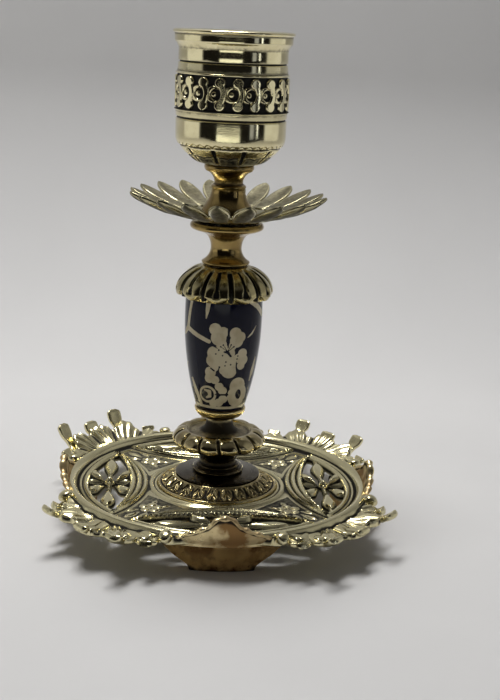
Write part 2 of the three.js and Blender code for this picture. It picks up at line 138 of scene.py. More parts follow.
class Outline:
    """A piece's outline in the half plane of radius and height, drawn with straight and curved strokes."""

    DENSE = 0.05

    def __init__(self, radius: float, height: float) -> None:
        """Starts the outline at one point."""
        self.points = [(radius, height)]

    def line(self, radius: float, height: float) -> "Outline":
        """Draws a straight stroke to a point."""
        self.points.append((radius, height))
        return self

    def curve(self, via_radius: float, via_height: float, radius: float, height: float) -> "Outline":
        """Draws a curved stroke.

        Args:
            via_radius: radius of the point that pulls the stroke.
            via_height: its height.
            radius: where the stroke ends.
            height: the height there.

        Returns:
            The outline itself, so that strokes can follow each other.
        """
        start = np.array(self.points[-1])
        via, end = np.array((via_radius, via_height)), np.array((radius, height))
        for share in np.linspace(0, 1, 17)[1:]:
            point = (1 - share) ** 2 * start + 2 * share * (1 - share) * via + share ** 2 * end
            self.points.append((float(point[0]), float(point[1])))
        return self

    def stations(self, step: float, closed: bool, worn: float = 0.1,
                 fine: Sequence[tuple[float, float, float]] = ()) -> Array:
        """Samples the outline with its corners worn round.

        Args:
            step: the longest step between two samples.
            closed: whether the outline closes on itself; if not, its ends lie on the axis.
            worn: how far the corners are rounded.
            fine: (lowest, highest, step) for the heights where the samples lie closer.

        Returns:
            One row for each sample: radius, height, the normal's two parts, and how hollow it is.
        """
        corners = np.array(self.points + ([self.points[0]] if closed else []))
        lengths = np.r_[0, np.cumsum(np.linalg.norm(np.diff(corners, axis=0), axis=1))]
        count = int(lengths[-1] / self.DENSE)
        along = np.linspace(0, lengths[-1], count, endpoint=not closed)
        dense = np.stack([np.interp(along, lengths, corners[:, k]) for k in (0, 1)], 1)
        soft = blurred(dense, max(1, round(worn / self.DENSE)), 0, closed)
        wide = blurred(dense, round(0.6 / self.DENSE), 0, closed)
        if closed:
            ahead = np.roll(soft, -1, 0) - np.roll(soft, 1, 0)
        else:
            soft[0], soft[-1] = dense[0], dense[-1]
            ahead = np.gradient(soft, axis=0)
        ahead /= np.maximum(np.linalg.norm(ahead, axis=1, keepdims=True), 1e-9)
        normal = np.stack([ahead[:, 1], -ahead[:, 0]], 1)
        hollow = ((wide - soft) * normal).sum(1)
        direction = np.unwrap(np.arctan2(ahead[:, 1], ahead[:, 0]))
        kept, last = [0], 0
        for k in range(1, count):
            limit = min([s for low, high, s in fine if low <= soft[k, 1] <= high], default=step)
            turned = abs(direction[k] - direction[last])
            if (k - last) * self.DENSE >= limit or (turned > 0.16 and (k - last) * self.DENSE > 0.09):
                kept.append(k)
                last = k
        if not closed and kept[-1] != count - 1:
            kept.append(count - 1)
        return np.column_stack([soft, normal, hollow])[kept]


class Skin:
    """Closed grids of points that are gathered into one mesh."""

    def __init__(self) -> None:
        """Starts with nothing."""
        self.points: list[Array] = []
        self.quads: list[Array] = []
        self.triangles: list[Array] = []
        self.depths: list[Array] = []
        self.count = 0

    def add(self, points: Array, depth: Array, quads: Array, triangles: Array) -> None:
        """Adds one closed body and turns its faces outwards.

        Args:
            points: its vertices.
            depth: how hollow each one lies, in millimetres, with any painted shade laid in; below zero where
                it stands proud, and where a painted highlight is laid.
            quads: its four-sided faces.
            triangles: its three-sided faces.
        """
        every = np.concatenate([quads[:, [0, 1, 2]], quads[:, [0, 2, 3]], triangles])
        a, b, c = (points[every[:, k]] for k in range(3))
        if (a * np.cross(b, c)).sum() < 0:
            quads, triangles = quads[:, ::-1], triangles[:, ::-1]
        self.points.append(points)
        self.depths.append(depth)
        self.quads.append(quads + self.count)
        self.triangles.append(triangles + self.count)
        self.count += len(points)

    def grid(self, points: Array, depth: Array, wrap: bool) -> None:
        """Adds a grid whose columns go round and whose rows close on themselves or end in caps.

        Args:
            points: rows by columns by three.
            depth: rows by columns, how hollow each point lies, with any painted shade laid in.
            wrap: whether the last row joins the first.
        """
        rows, columns = depth.shape
        flat, sunk = points.reshape(-1, 3), depth.ravel()
        index = np.arange(rows * columns).reshape(rows, columns)
        lower = index if wrap else index[:-1]
        upper = np.roll(index, -1, 0) if wrap else index[1:]
        quads = np.stack([lower, np.roll(lower, -1, 1), np.roll(upper, -1, 1), upper], -1).reshape(-1, 4)
        triangles = np.zeros((0, 3), int)
        if not wrap:
            ends = [points[0].mean(0), points[-1].mean(0)]
            first, last = len(flat), len(flat) + 1
            flat = np.vstack([flat, ends])
            sunk = np.r_[sunk, depth[0].mean(), depth[-1].mean()]
            low, high = index[0], index[-1]
            triangles = np.vstack([
                np.stack([np.full(columns, first), np.roll(low, -1), low], 1),
                np.stack([np.full(columns, last), high, np.roll(high, -1)], 1),
            ])
        self.add(flat, sunk, quads, triangles)

    def build(self, name: str, deep: float = 0.3, sharp: float = 50.0) -> bpy.types.Object:
        """Makes the mesh object.

        Args:
            name: the piece's name.
            deep: the depth, in millimetres, that counts as a full hollow.
            sharp: edges that turn more than this many degrees stay sharp.

        Returns:
            The object, in metres, in the frame.
        """
        points = np.concatenate(self.points) * MM
        depth = np.concatenate(self.depths)
        quads, triangles = np.concatenate(self.quads), np.concatenate(self.triangles)
        corners = np.concatenate([quads.ravel(), triangles.ravel()])
        sizes = np.r_[np.full(len(quads), 4), np.full(len(triangles), 3)]
        mesh = bpy.data.meshes.new(name)
        mesh.vertices.add(len(points))
        mesh.vertices.foreach_set("co", points.astype(np.float32).ravel())
        mesh.loops.add(len(corners))
        mesh.loops.foreach_set("vertex_index", corners.astype(np.int32))
        mesh.polygons.add(len(sizes))
        mesh.polygons.foreach_set("loop_start", np.r_[0, np.cumsum(sizes)[:-1]].astype(np.int32))
        mesh.update(calc_edges=True)
        mesh.shade_smooth()
        mesh.set_sharp_from_angle(angle=math.radians(sharp))
        for label, values in ((HOLLOW_AND_SHADE, depth / deep), (CREST_AND_HIGHLIGHT, -depth / deep)):
            layer = mesh.attributes.new(label, "FLOAT", "POINT")
            layer.data.foreach_set("value", np.clip(values, 0, 1).astype(np.float32))
        piece = bpy.data.objects.new(name, mesh)
        bpy.context.scene.collection.objects.link(piece)
        return piece


def turn(outline: Outline, columns: int, step: float = 0.8, closed: bool = True, worn: float = 0.1,
         relief: Optional[Relief] = None, fine: Sequence[tuple[float, float, float]] = (),
         reach: int = 3, lift: Optional[Relief] = None,
         shade: Optional[Relief] = None) -> tuple[Array, Array]:
    """Turns an outline about the stem's axis and raises a relief on it.

    Args:
        outline: the closed outline, or an open one whose ends lie on the axis.
        columns: how many steps go round.
        step: the longest step along the outline.
        closed: whether the outline closes on itself.
        worn: how far its corners are rounded.
        relief: gives the height above the turned surface at (angle, radius, height).
        fine: (lowest, highest, step) for the heights that need closer steps.
        reach: over how many steps the relief's hollows are judged.
        lift: gives how far a point is raised along Z, at (angle, radius, height).
        shade: gives the extra patina and painted shade at (angle, radius, height), laid into the depth.

    Returns:
        The grid of points, and how hollow each one lies, with the shade function's patina and painted shade
        laid in.
    """
    rows = outline.stations(step, closed, worn, fine)
    angle = np.linspace(0, TURN, columns, endpoint=False)[None, :]
    radius, height = rows[:, 0:1], rows[:, 1:2]
    shape = (len(rows), columns)
    raised = np.broadcast_to(relief(angle, radius, height) if relief else 0.0, shape)
    upward = np.broadcast_to(lift(angle, radius, height) if lift else 0.0, shape)
    out = radius + raised * rows[:, 2:3]
    up = height + raised * rows[:, 3:4] + upward
    around = blurred(blurred(raised, reach, 1, True), reach, 0, closed)
    # the piece's extra patina and painted shade, laid into the depth
    stained = shade(angle, radius, height) if shade else 0.0
    depth = rows[:, 4:5] + (around - raised) + stained
    points = np.stack([out * np.cos(angle), out * np.sin(angle), up], -1)
    return points, depth


def turned_piece(name: str, outline: Outline, columns: int, closed: bool = True, deep: float = 0.3,
                 **options: Any) -> bpy.types.Object:
    """Makes a whole piece from one turned outline.

    Args:
        name: the piece's name.
        outline: its outline.
        columns: how many steps go round.
        closed: whether the outline closes on itself.
        deep: the depth that counts as a full hollow.
        options: what turn() takes besides.

    Returns:
        The piece.
    """
    skin = Skin()
    points, depth = turn(outline, columns, closed=closed, **options)
    skin.grid(points, depth, closed)
    return skin.build(name, deep)


def strap(path: Array, side: Array, width: Array, thickness: Array, crown: Array,
          columns: int = 28, stain: float = 0.068, underside_shade: float = 0.0) -> tuple[Array, Array]:
    """A leaf or strap swept along a path, with rounded edges.

    Args:
        path: the middle line, one point a row.
        side: the direction across the strap, the same for the whole strap.
        width: half width at each point.
        thickness: half thickness at each point.
        crown: how far the middle stands above the edges at each point; below zero for a hollow strap.
        columns: how many steps go round a section.
        stain: how deeply the upper face of a hollow strap is stained.
        underside_shade: painted shade laid on its lower face, as a depth.

    Returns:
        The grid of points and how hollow each one lies, with the painted shade on the lower face laid in.
    """
    ahead = np.gradient(path, axis=0)
    ahead /= np.linalg.norm(ahead, axis=1, keepdims=True)
    across = side / np.linalg.norm(side)
    upward = np.cross(ahead, across)
    upward /= np.linalg.norm(upward, axis=1, keepdims=True)
    turn_angle = np.linspace(0, TURN, columns, endpoint=False)
    cosine, sine = np.cos(turn_angle), np.sin(turn_angle)
    flat_x = np.sign(cosine) * np.abs(cosine) ** 0.75
    flat_y = np.sign(sine) * np.abs(sine) ** 0.6
    x = width[:, None] * flat_x[None, :]
    y = thickness[:, None] * flat_y[None, :] + crown[:, None] * (1 - flat_x[None, :] ** 2)
    points = path[:, None, :] + x[..., None] * across + y[..., None] * upward[:, None, :]
    rim = np.abs(flat_x)[None, :] ** 6
    inside = np.abs(flat_x)[None, :]
    face = (stain + 0.09 * np.exp(-((inside - 0.8) / 0.09) ** 2)) * (flat_y > 0.3)[None, :]
    # painted shade on the strap's lower face
    back = underside_shade * (flat_y < -0.3)[None, :]
    depth = np.where(crown[:, None] < 0, (face + back) * (1 - rim), 0.0) - 0.15 * rim
    return points, np.broadcast_to(depth, x.shape)


def spun(points: Array, degrees: float) -> Array:
    """Points turned about the stem's axis.

    Args:
        points: any number of points, three numbers each.
        degrees: how far they turn, anticlockwise.

    Returns:
        The turned points.
    """
    cosine, sine = math.cos(math.radians(degrees)), math.sin(math.radians(degrees))
    return points @ np.array([[cosine, sine, 0], [-sine, cosine, 0], [0, 0, 1]])


# ---- Finishes ----------------------------------------------------------------------------------

class Wear(Enum):
    """Names of the shared effects."""

    HOLLOWS_AND_SHADE = "patina and painted shade in the hollows"
    TARNISH = "cloudy tarnish"
    SCRATCHES = "fine polishing scratches"


def shared_group(effect: Wear, inputs: dict[str, float], outputs: Sequence[str],
                 fill: Callable[[Tree, bpy.types.Node, bpy.types.Node], None]) -> Tree:
    """Builds a node group once, or finds the one already built.

    Args:
        effect: which effect.
        inputs: its named numbers and their first values.
        outputs: the names of the masks it puts out.
        fill: adds the nodes between the group's input and output.

    Returns:
        The group.
    """
    tree = bpy.data.node_groups.get(effect.value)
    if tree is not None:
        return tree
    tree = bpy.data.node_groups.new(effect.value, "ShaderNodeTree")
    for name, value in inputs.items():
        socket = tree.interface.new_socket(name=name, in_out="INPUT", socket_type="NodeSocketFloat")
        socket.default_value = value
    for name in outputs:
        tree.interface.new_socket(name=name, in_out="OUTPUT", socket_type="NodeSocketFloat")
    fill(tree, tree.nodes.new("NodeGroupInput"), tree.nodes.new("NodeGroupOutput"))
    return tree


def node(tree: Tree, kind: str, settings: Optional[dict[str, Any]] = None, **inputs: Fed) -> bpy.types.Node:
    """Adds a node.

    Args:
        tree: where it goes.
        kind: the node's type, without the ShaderNode in front.
        settings: its properties.
        inputs: what its sockets get, by name with _ for a space or as in0, in1; a socket is linked.

    Returns:
        The node.
    """
    made = tree.nodes.new("ShaderNode" + kind)
    for name, value in (settings or {}).items():
        setattr(made, name, value)
    for name, value in inputs.items():
        key = int(name[2:]) if name[:2] == "in" and name[2:].isdigit() else name.replace("_", " ")
        if isinstance(value, bpy.types.NodeSocket):
            tree.links.new(value, made.inputs[key])
        else:
            made.inputs[key].default_value = value
    return made


def maths(tree: Tree, operation: str, first: Fed, second: Fed = 0.0, third: Fed = 0.0) -> Socket:
    """Adds a Math node and returns its result.

    Args:
        tree: where it goes.
        operation: the node's operation.
        first: a socket or a number.
        second: a socket or a number.
        third: a socket or a number.

    Returns:
        The result's socket.
    """
    return node(tree, "Math", {"operation": operation}, in0=first, in1=second, in2=third).outputs[0]


def stretched(tree: Tree, value: Socket, low: float, high: float) -> Socket:
    """Maps a stretch of a value to 0..1, with soft ends.

    Args:
        tree: where the node goes.
        value: what is mapped.
        low: what becomes 0.
        high: what becomes 1.

    Returns:
        The result's socket.
    """
    return node(tree, "MapRange", {"interpolation_type": "SMOOTHSTEP"}, Value=value, From_Min=low,
                From_Max=high).outputs[0]


def mixed(tree: Tree, share: Fed, first: Fed, second: Fed) -> Socket:
    """Mixes two colours.

    Args:
        tree: where the node goes.
        share: how much of the second colour there is.
        first: a colour or a socket.
        second: a colour or a socket.

    Returns:
        The mixed colour's socket.
    """
    return node(tree, "Mix", {"data_type": "RGBA"}, in0=share, in6=first, in7=second).outputs[2]


def noise(tree: Tree, scale: float, detail: float = 3.0, place: Optional[Socket] = None) -> Socket:
    """Adds noise in the object's own coordinates.

    Args:
        tree: where the nodes go.
        scale: how many lumps there are in a metre.
        detail: how many finer layers are added.
        place: the coordinates, if they are already made.

    Returns:
        The noise's socket.
    """
    if place is None:
        place = node(tree, "TexCoord").outputs["Object"]
    return node(tree, "TexNoise", Vector=place, Scale=scale, Detail=detail).outputs[0]


def fill_hollows(tree: Tree, start: bpy.types.Node, end: bpy.types.Node) -> None:
    """Dark patina, and painted shade, where the mesh's hollow attribute is high, broken up by noise; rubbed
    crests and painted highlights where its crest attribute is high.

    Args:
        tree: the group.
        start: its input node.
        end: its output node.
    """
    hollow = node(tree, "Attribute", {"attribute_name": HOLLOW_AND_SHADE}).outputs["Fac"]
    crest = node(tree, "Attribute", {"attribute_name": CREST_AND_HIGHLIGHT}).outputs["Fac"]
    grain = maths(tree, "SUBTRACT", noise(tree, 900.0, 4.0), 0.5)
    uneven = maths(tree, "MULTIPLY_ADD", grain, start.outputs["Unevenness"], hollow)
    reached = maths(tree, "SUBTRACT", uneven, start.outputs["Start"])
    mask = maths(tree, "MULTIPLY", reached, start.outputs["Contrast"])
    tree.links.new(node(tree, "Clamp", Value=mask).outputs[0], end.inputs["PatinaAndShade"])
    # rubbed crests, and painted highlights where a piece lays them in as raised depth
    rubbed_and_highlit = maths(tree, "MULTIPLY", crest, maths(tree, "MULTIPLY_ADD", grain, 1.4, 1.0))
    tree.links.new(node(tree, "Clamp", Value=rubbed_and_highlit).outputs[0], end.inputs["RubbedAndHighlight"])


def fill_tarnish(tree: Tree, start: bpy.types.Node, end: bpy.types.Node) -> None:
    """Clouds and specks of tarnish.

    Args:
        tree: the group.
        start: its input node.
        end: its output node.
    """
    place = node(tree, "TexCoord").outputs["Object"]
    cloud = stretched(tree, noise(tree, 55.0, 5.0, place), 0.35, 0.75)
    mottle = stretched(tree, noise(tree, 210.0, 5.0, place), 0.4, 0.66)
    speck = stretched(tree, noise(tree, 620.0, 3.0, place), 0.62, 0.78)
    broad = maths(tree, "MULTIPLY_ADD", mottle, 0.5, maths(tree, "MULTIPLY", cloud, 0.55))
    amount = maths(tree, "MULTIPLY", maths(tree, "MULTIPLY_ADD", speck, 0.35, broad), start.outputs["Amount"])
    tree.links.new(node(tree, "Clamp", Value=amount).outputs[0], end.inputs["Tarnish"])


def fill_scratches(tree: Tree, start: bpy.types.Node, end: bpy.types.Node) -> None:
    """Fine scratches that run round the stem, as a height.

    Args:
        tree: the group.
        start: its input node.
        end: its output node.
    """
    place = node(tree, "TexCoord").outputs["Object"]
    flat = node(tree, "VectorMath", {"operation": "MULTIPLY"}, in0=place, in1=(1.0, 1.0, 14.0)).outputs[0]
    lines = noise(tree, 480.0, 2.0, flat)
    pits = noise(tree, 1500.0, 2.0, place)
    height = maths(tree, "MULTIPLY_ADD", pits, 0.5, lines)
    tree.links.new(maths(tree, "MULTIPLY", height, start.outputs["Strength"]), end.inputs["Height"])


def hollows_group() -> Tree:
    """The group for patina and painted shade, and for rubbed crests and painted highlights."""
    return shared_group(Wear.HOLLOWS_AND_SHADE, {"Start": 0.25, "Contrast": 2.0, "Unevenness": 0.4},
                        ("PatinaAndShade", "RubbedAndHighlight"), fill_hollows)


def tarnish_group() -> Tree:
    """The tarnish group."""
    return shared_group(Wear.TARNISH, {"Amount": 0.3}, ("Tarnish",), fill_tarnish)


def scratches_group() -> Tree:
    """The scratches group."""
    return shared_group(Wear.SCRATCHES, {"Strength": 1.0}, ("Height",), fill_scratches)


def placed(tree: Tree, group: Tree, **values: float) -> bpy.types.Node:
    """Puts a shared group in a material with its own values.

    Args:
        tree: the material's nodes.
        group: the shared group.
        values: its inputs, by name.

    Returns:
        The group's node.
    """
    made = node(tree, "Group", {"node_tree": group})
    for name, value in values.items():
        made.inputs[name].default_value = value
    return made


def new_material(name: str) -> tuple[bpy.types.Material, Tree, bpy.types.Node]:
    """Makes a material.

    Args:
        name: the material's name.

    Returns:
        The material, its nodes and its Principled shader.
    """
    material = bpy.data.materials.new(name)
    material.use_nodes = True
    tree = material.node_tree
    return material, tree, tree.nodes["Principled BSDF"]


Colour = tuple[float, float, float, float]


@dataclass(frozen=True)
class Brass:
    """Cast or turned brass with patina in its hollows, and with painted shade and highlights where a piece
    lays them into its depth.
    """

    name: str
    bright: Colour
    tarnished: Colour
    patina: Colour
    gloss: float = 0.07
    dullness: float = 0.3
    tarnish: float = 0.3
    start: float = 0.22
    contrast: float = 2.2
    unevenness: float = 0.4
    dents: float = 0.03

    def material(self) -> bpy.types.Material:
        """Builds the material.

        Returns:
            Brass that is bright on its crests, cloudy on its faces and dark in its hollows, with painted
            shade and highlights where the piece's depth carries them.
        """
        material, tree, shader = new_material(self.name)
        hollows = placed(tree, hollows_group(), Start=self.start, Contrast=self.contrast,
                         Unevenness=self.unevenness)
        cloudy = placed(tree, tarnish_group(), Amount=self.tarnish)
        lines = placed(tree, scratches_group(), Strength=1.0)
        # the patina mask carries painted shade too, and the rubbed mask painted highlights
        patina, rubbed_and_highlit = hollows.outputs["PatinaAndShade"], hollows.outputs["RubbedAndHighlight"]
        tarnish = cloudy.outputs["Tarnish"]
        kept = maths(tree, "MULTIPLY", tarnish, maths(tree, "MULTIPLY_ADD", rubbed_and_highlit, -0.7, 1.0))
        metal = mixed(tree, kept, self.bright, self.tarnished)
        tree.links.new(mixed(tree, patina, metal, self.patina), shader.inputs["Base Color"])
        rough = maths(tree, "MULTIPLY_ADD", kept, self.dullness, self.gloss)
        rough = maths(tree, "MULTIPLY_ADD", patina, 0.38, rough)
        tree.links.new(rough, shader.inputs["Roughness"])
        shader.inputs["Specular IOR Level"].default_value = 0.2
        tree.links.new(maths(tree, "MULTIPLY_ADD", patina, -0.75, 1.0), shader.inputs["Metallic"])
        uneven = node(tree, "Bump", Strength=self.dents, Distance=0.0002, Height=lines.outputs["Height"])
        tree.links.new(uneven.outputs["Normal"], shader.inputs["Normal"])
        return material


@dataclass(frozen=True)
class PlainFinish:
    """A plain grained finish for the hidden pieces: cork, or bright steel."""

    name: str
    light: Colour
    dark: Colour
    roughness: float
    metallic: float
    grain: float

    def material(self) -> bpy.types.Material:
        """Builds the material.

        Returns:
            The grained material.
        """
        material, tree, shader = new_material(self.name)
        grain = stretched(tree, noise(tree, self.grain, 5.0), 0.35, 0.65)
        tree.links.new(mixed(tree, grain, self.light, self.dark), shader.inputs["Base Color"])
        tree.links.new(maths(tree, "MULTIPLY_ADD", grain, 0.15, self.roughness), shader.inputs["Roughness"])
        shader.inputs["Metallic"].default_value = self.metallic
        uneven = node(tree, "Bump", Strength=0.25, Distance=0.0002, Height=grain)
        tree.links.new(uneven.outputs["Normal"], shader.inputs["Normal"])
        return material


# ---- Stem pieces -------------------------------------------------------------------------------

BORE = 2.35            # clearance hole for the tie rod in each stem piece


def levels(name: str) -> tuple[float, float]:
    """The lowest and highest level of a frame node, in millimetres."""
    low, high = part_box(name)
    return low.z / MM, high.z / MM


def dress(piece: bpy.types.Object, material: bpy.types.Material, slot: str, *nodes: str) -> None:
    """Gives a new piece its finish and its place in the assembly.

    Args:
        piece: the new piece.
        material: its finish.
        slot: a slot name; not used.
        nodes: the frame nodes it stands for.
    """
    piece.data.materials.append(material)
    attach(piece, "root")
    if nodes:
        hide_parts(*nodes)
    log.info("%s: %d faces", piece.name, len(piece.data.polygons))


@dataclass
class CandleSocket:
    """The cup that holds the candle, with a band of raised rings and bones on dark ground."""

    finish: Brass
    radius: float = 14.85
    band_bottom: float = 118.9
    band_top: float = 128.3
    motifs: int = 20
    motif_start: float = 4.5
    flutes: int = 10
    flute_start: float = 31.5
    height: float = field(init=False)
    bottom: float = field(init=False)

    def __post_init__(self) -> None:
        """Takes the socket's ends from the frame."""
        self.bottom, self.height = levels("candle_socket")

    def outline(self) -> Outline:
        """The cup's outline.

        Returns:
            An open outline, from the axis under the cup to the axis inside it.
        """
        low, top = self.bottom, self.height
        line = Outline(0, low + 0.4).line(7.9, low).curve(9.6, low + 0.2, 11.4, 106.3)
        line.curve(13.2, 107.7, 13.75, 108.7).line(13.85, 109.3).line(14.2, 109.4)
        line.curve(15.1, 110, 15.2, 111.8).line(15.2, 116.3).line(14.8, 116.5).line(14.8, 116.9)
        line.line(15.25, 117.1).line(15.3, 118.5).line(15.65, 118.65).line(15.65, 118.95)
        line.line(14.85, 119.1).line(14.85, 128.2).line(15.55, 128.35).line(15.55, 128.7)
        line.line(15.05, 128.9).line(14.9, 131.2).line(14.45, 131.35).line(14.45, 131.65)
        line.line(14.9, 131.8).line(14.9, 135.1).curve(15.2, 136.1, 15.9, 136.7)
        line.line(16.0, 136.9).line(16.02, 138.7).curve(16.15, 138.9, 16.5, 139.1)
        line.curve(16.75, 139.4, 16.4, top - 0.25).curve(16, top, 15.4, top)
        line.line(13.6, top - 0.3).curve(12.2, top - 0.7, 12, top - 2.2).line(12, 110.4)
        return line.line(11.6, 110).line(0, 110)

    def band(self, angle: Array, height: Array) -> Array:
        """The relief between the two rims: upright bones with a ring and a crescent between them.

        Args:
            angle: round the cup, in radians.
            height: along the cup.

        Returns:
            Height of the relief over its ground.
        """
        middle = (self.band_bottom + self.band_top) / 2
        z = height - middle
        arc = folded(angle, self.motifs, math.radians(self.motif_start)) * self.radius
        half_pitch = math.pi / self.motifs * self.radius
        waist = np.cos(np.clip(z / 3.6, -1, 1) * math.pi / 2) ** 2
        middle_line = -0.5 + 0.95 * waist
        half = 1.05 - 0.25 * waist
        body = np.abs(arc - middle_line) - half
        bulbs = np.hypot(arc + 0.5, np.abs(z) - 2.95) - 1.45
        bone = smooth(np.minimum(np.maximum(body, np.abs(z) - 3.3), bulbs), 0.16, -0.3)
        from_disc = np.hypot(arc - half_pitch - 0.15, z)
        from_back = np.hypot(arc + half_pitch - 0.15, z)
        ring = np.minimum(from_disc, from_back)
        bite = np.where(from_disc < from_back, arc - half_pitch - 0.8, arc + half_pitch - 0.8)
        crescent = smooth(np.maximum(ring - 2.15, 1.45 - np.hypot(bite, z)), 0.14, -0.16)
        boss = smooth(ring, 0.95, 0.45)
        level = np.maximum.reduce([0.8 * bone, 0.66 * crescent * (1 - bone), 0.5 * boss * (1 - bone)])
        return level * smooth(np.abs(z), 4.6, 4.3)

    def relief(self, angle: Array, radius: Array, height: Array) -> Array:
        """All that is raised or cut on the turned cup.

        Args:
            angle: round the cup.
            radius: of the turned surface.
            height: of the turned surface.

        Returns:
            Height over the turned surface.
        """
        outside = radius > 14.2
        band = np.where(outside & (np.abs(height - 123.6) < 4.9), self.band(angle, height), 0.0)
        around = folded(angle, self.flutes, math.radians(self.flute_start))
        slot = smooth(np.abs(around) * 13.0, 0.72, 0.4)
        slot = slot * smooth(height, 104.9, 105.6) * smooth(height, 108.9, 108.4)
        crown = 0.22 * np.cos(around * self.flutes / 2) ** 2 * smooth(height, 104.6, 106) * (height < 108.6)
        scallops = folded(angle, 40) * 13.9
        wavy = height - 109.75 - 0.28 * np.cos(scallops / (math.pi * 13.9 / 40) * math.pi)
        line = smooth(np.abs(wavy), 0.24, 0.08) * (radius > 13) * (height < 111)
        low_wavy = height - 106.4 - 0.3 * np.abs(np.sin(around * self.flutes))
        low_line = smooth(np.abs(low_wavy), 0.22, 0.06) * (height < 108) * (radius > 9)
        return band - 0.75 * slot * (radius < 14.4) - crown * 0.6 - 0.16 * line - 0.14 * low_line

    def shade(self, angle: Array, radius: Array, height: Array) -> Array:
        """The black ground of the band and the black slots between the flutes, with painted shade over the
        flutes, darker towards their lower end.

        Args:
            angle: round the cup.
            radius: of the turned surface.
            height: of the turned surface.

        Returns:
            How much deeper the surface is stained, painted shade included.
        """
        inside = (radius > 14.2) & (np.abs(height - 123.6) < 4.75)
        ground = np.where(inside, 0.5 * smooth(self.band(angle, height), 0.3, 0.05), 0.0)
        around = folded(angle, self.flutes, math.radians(self.flute_start))
        slot = smooth(np.abs(around) * 13.0, 0.7, 0.5) * (height < 108.8) * (height > 105) * (radius > 9)
        # painted shade: the flutes face down, darkened as the shadowed floor they mirror would darken them,
        # more so towards their lower end
        flutes = (0.075 + 0.1 * smooth(height, 107.8, 105.6)) * smooth(height, 109.9, 109.0) * (radius > 6)
        return ground + 0.4 * slot + flutes

    def build(self) -> None:
        """Builds and dresses the cup."""
        fine = ((self.bottom + 0.4, 111.2, 0.15), (119.1, 128.2, 0.15), (135.2, 139.7, 0.2))
        piece = turned_piece("candle_cup", self.outline(), 720, False, 0.24, step=1.2, worn=0.07,
                             relief=self.relief, fine=fine, reach=4, shade=self.shade)
        dress(piece, self.finish.material(), "polished_brass", "candle_socket")


@dataclass
class SocketStem:
    """The short turned stem between the pan and the cup."""

    finish: Brass
    top: float = field(init=False)
    bottom: float = field(init=False)

    def __post_init__(self) -> None:
        """Takes the stem's ends from the frame."""
        self.bottom, self.top = levels("socket_stem")

    def build(self) -> None:
        """Builds and dresses the stem."""
        line = Outline(BORE, self.bottom).line(7.3, self.bottom).line(7.4, self.bottom + 0.9)
        line.curve(6.9, 92.2, 6.2, 93.1).curve(4.9, 95, 4.75, 96.6).line(4.7, 97.6)
        line.curve(5.15, 97.9, 4.7, 98.35).line(4.1, 98.6).curve(3.7, 100, 5, 101.4)
        line.curve(5.6, 102, 6.5, 102.3).curve(7.1, 102.9, 6.9, 103.7).line(6.7, self.top)
        piece = turned_piece("cup_stem", line.line(BORE, self.top), 160, True, 0.3, step=0.6, worn=0.08)
        dress(piece, self.finish.material(), "dark_brass", "socket_stem")


@dataclass
class DripPan:
    """The drip pan: twenty petals with rounded rims round a shallow dish."""

    finish: Brass
    petals: int = 20
    crest_angle: float = 9.0
    tip_radius: float = 27.45
    tip_height: float = 96.6
    dish_radius: float = 17.4
    root_radius: float = 13.0
    flat_radius: float = 8.0
    half_width: float = 2.95
    rows: int = 44

    def height(self, radius: Array) -> Array:
        """Height of the middle of the pan's wall at a radius."""
        reach = np.clip((radius - self.flat_radius) / (self.tip_radius - self.flat_radius), 0, 1)
        return 88.95 + (self.tip_height - 89.5) * reach ** 1.3

    def dish(self) -> Outline:
        """The dish's outline.

        Returns:
            A closed outline round the dish's wall.
        """
        line = Outline(BORE, 88.3).line(9.2, 88.3)
        steps = np.linspace(10, self.dish_radius, 6)
        for radius in steps:
            line.line(float(radius), float(self.height(radius)) - 0.55)
        line.curve(self.dish_radius + 0.7, float(self.height(self.dish_radius)), self.dish_radius,
                   float(self.height(self.dish_radius)) + 0.5)
        for radius in steps[-2::-1]:
            line.line(float(radius), float(self.height(radius)) + 0.5)
        return line.line(8, 89.6).line(BORE, 89.6)

    def petal(self) -> tuple[Array, Array]:
        """One petal along +X: a spoon with a rounded rim and a softly pointed tip.

        Returns:
            The grid of points and how hollow each one lies.
        """
        share = np.linspace(0, 1, self.rows)
        along = 1 - (1 - share) ** 1.6
        radius = self.root_radius + (self.tip_radius - self.root_radius) * along
        path = np.stack([radius, np.zeros_like(radius), self.height(radius) + 0.05], 1)
        spread = radius * math.tan(math.pi / self.petals) * 0.99
        round_tip = np.clip(1 - ((along - 0.55) / 0.45).clip(0, 1) ** 2.3, 0, 1) ** 0.66
        width = np.minimum(spread, self.half_width * (0.82 + 0.18 * smooth(along, 0.2, 0.6))) * round_tip
        width = np.maximum(width, 0.02)
        thickness = 0.72 * np.maximum(round_tip, 0.08) ** 0.4
        hollow = -0.55 * smooth(along, 0.1, 0.5) * np.minimum(round_tip * 1.4, 1)
        # the petals' lower faces get painted shade
        return strap(path, SIDEWAYS, width, thickness, hollow, columns=36, stain=0.115, underside_shade=0.13)

    def build(self) -> None:
        """Builds and dresses the pan."""
        skin = Skin()
        skin.grid(*turn(self.dish(), 240, worn=0.1, step=0.8), True)
        points, depth = self.petal()
        for k in range(self.petals):
            skin.grid(spun(points, self.crest_angle + 360 / self.petals * k), depth, False)
        dress(skin.build("petal_pan", 0.2), self.finish.material(), "polished_brass", "drip_pan")


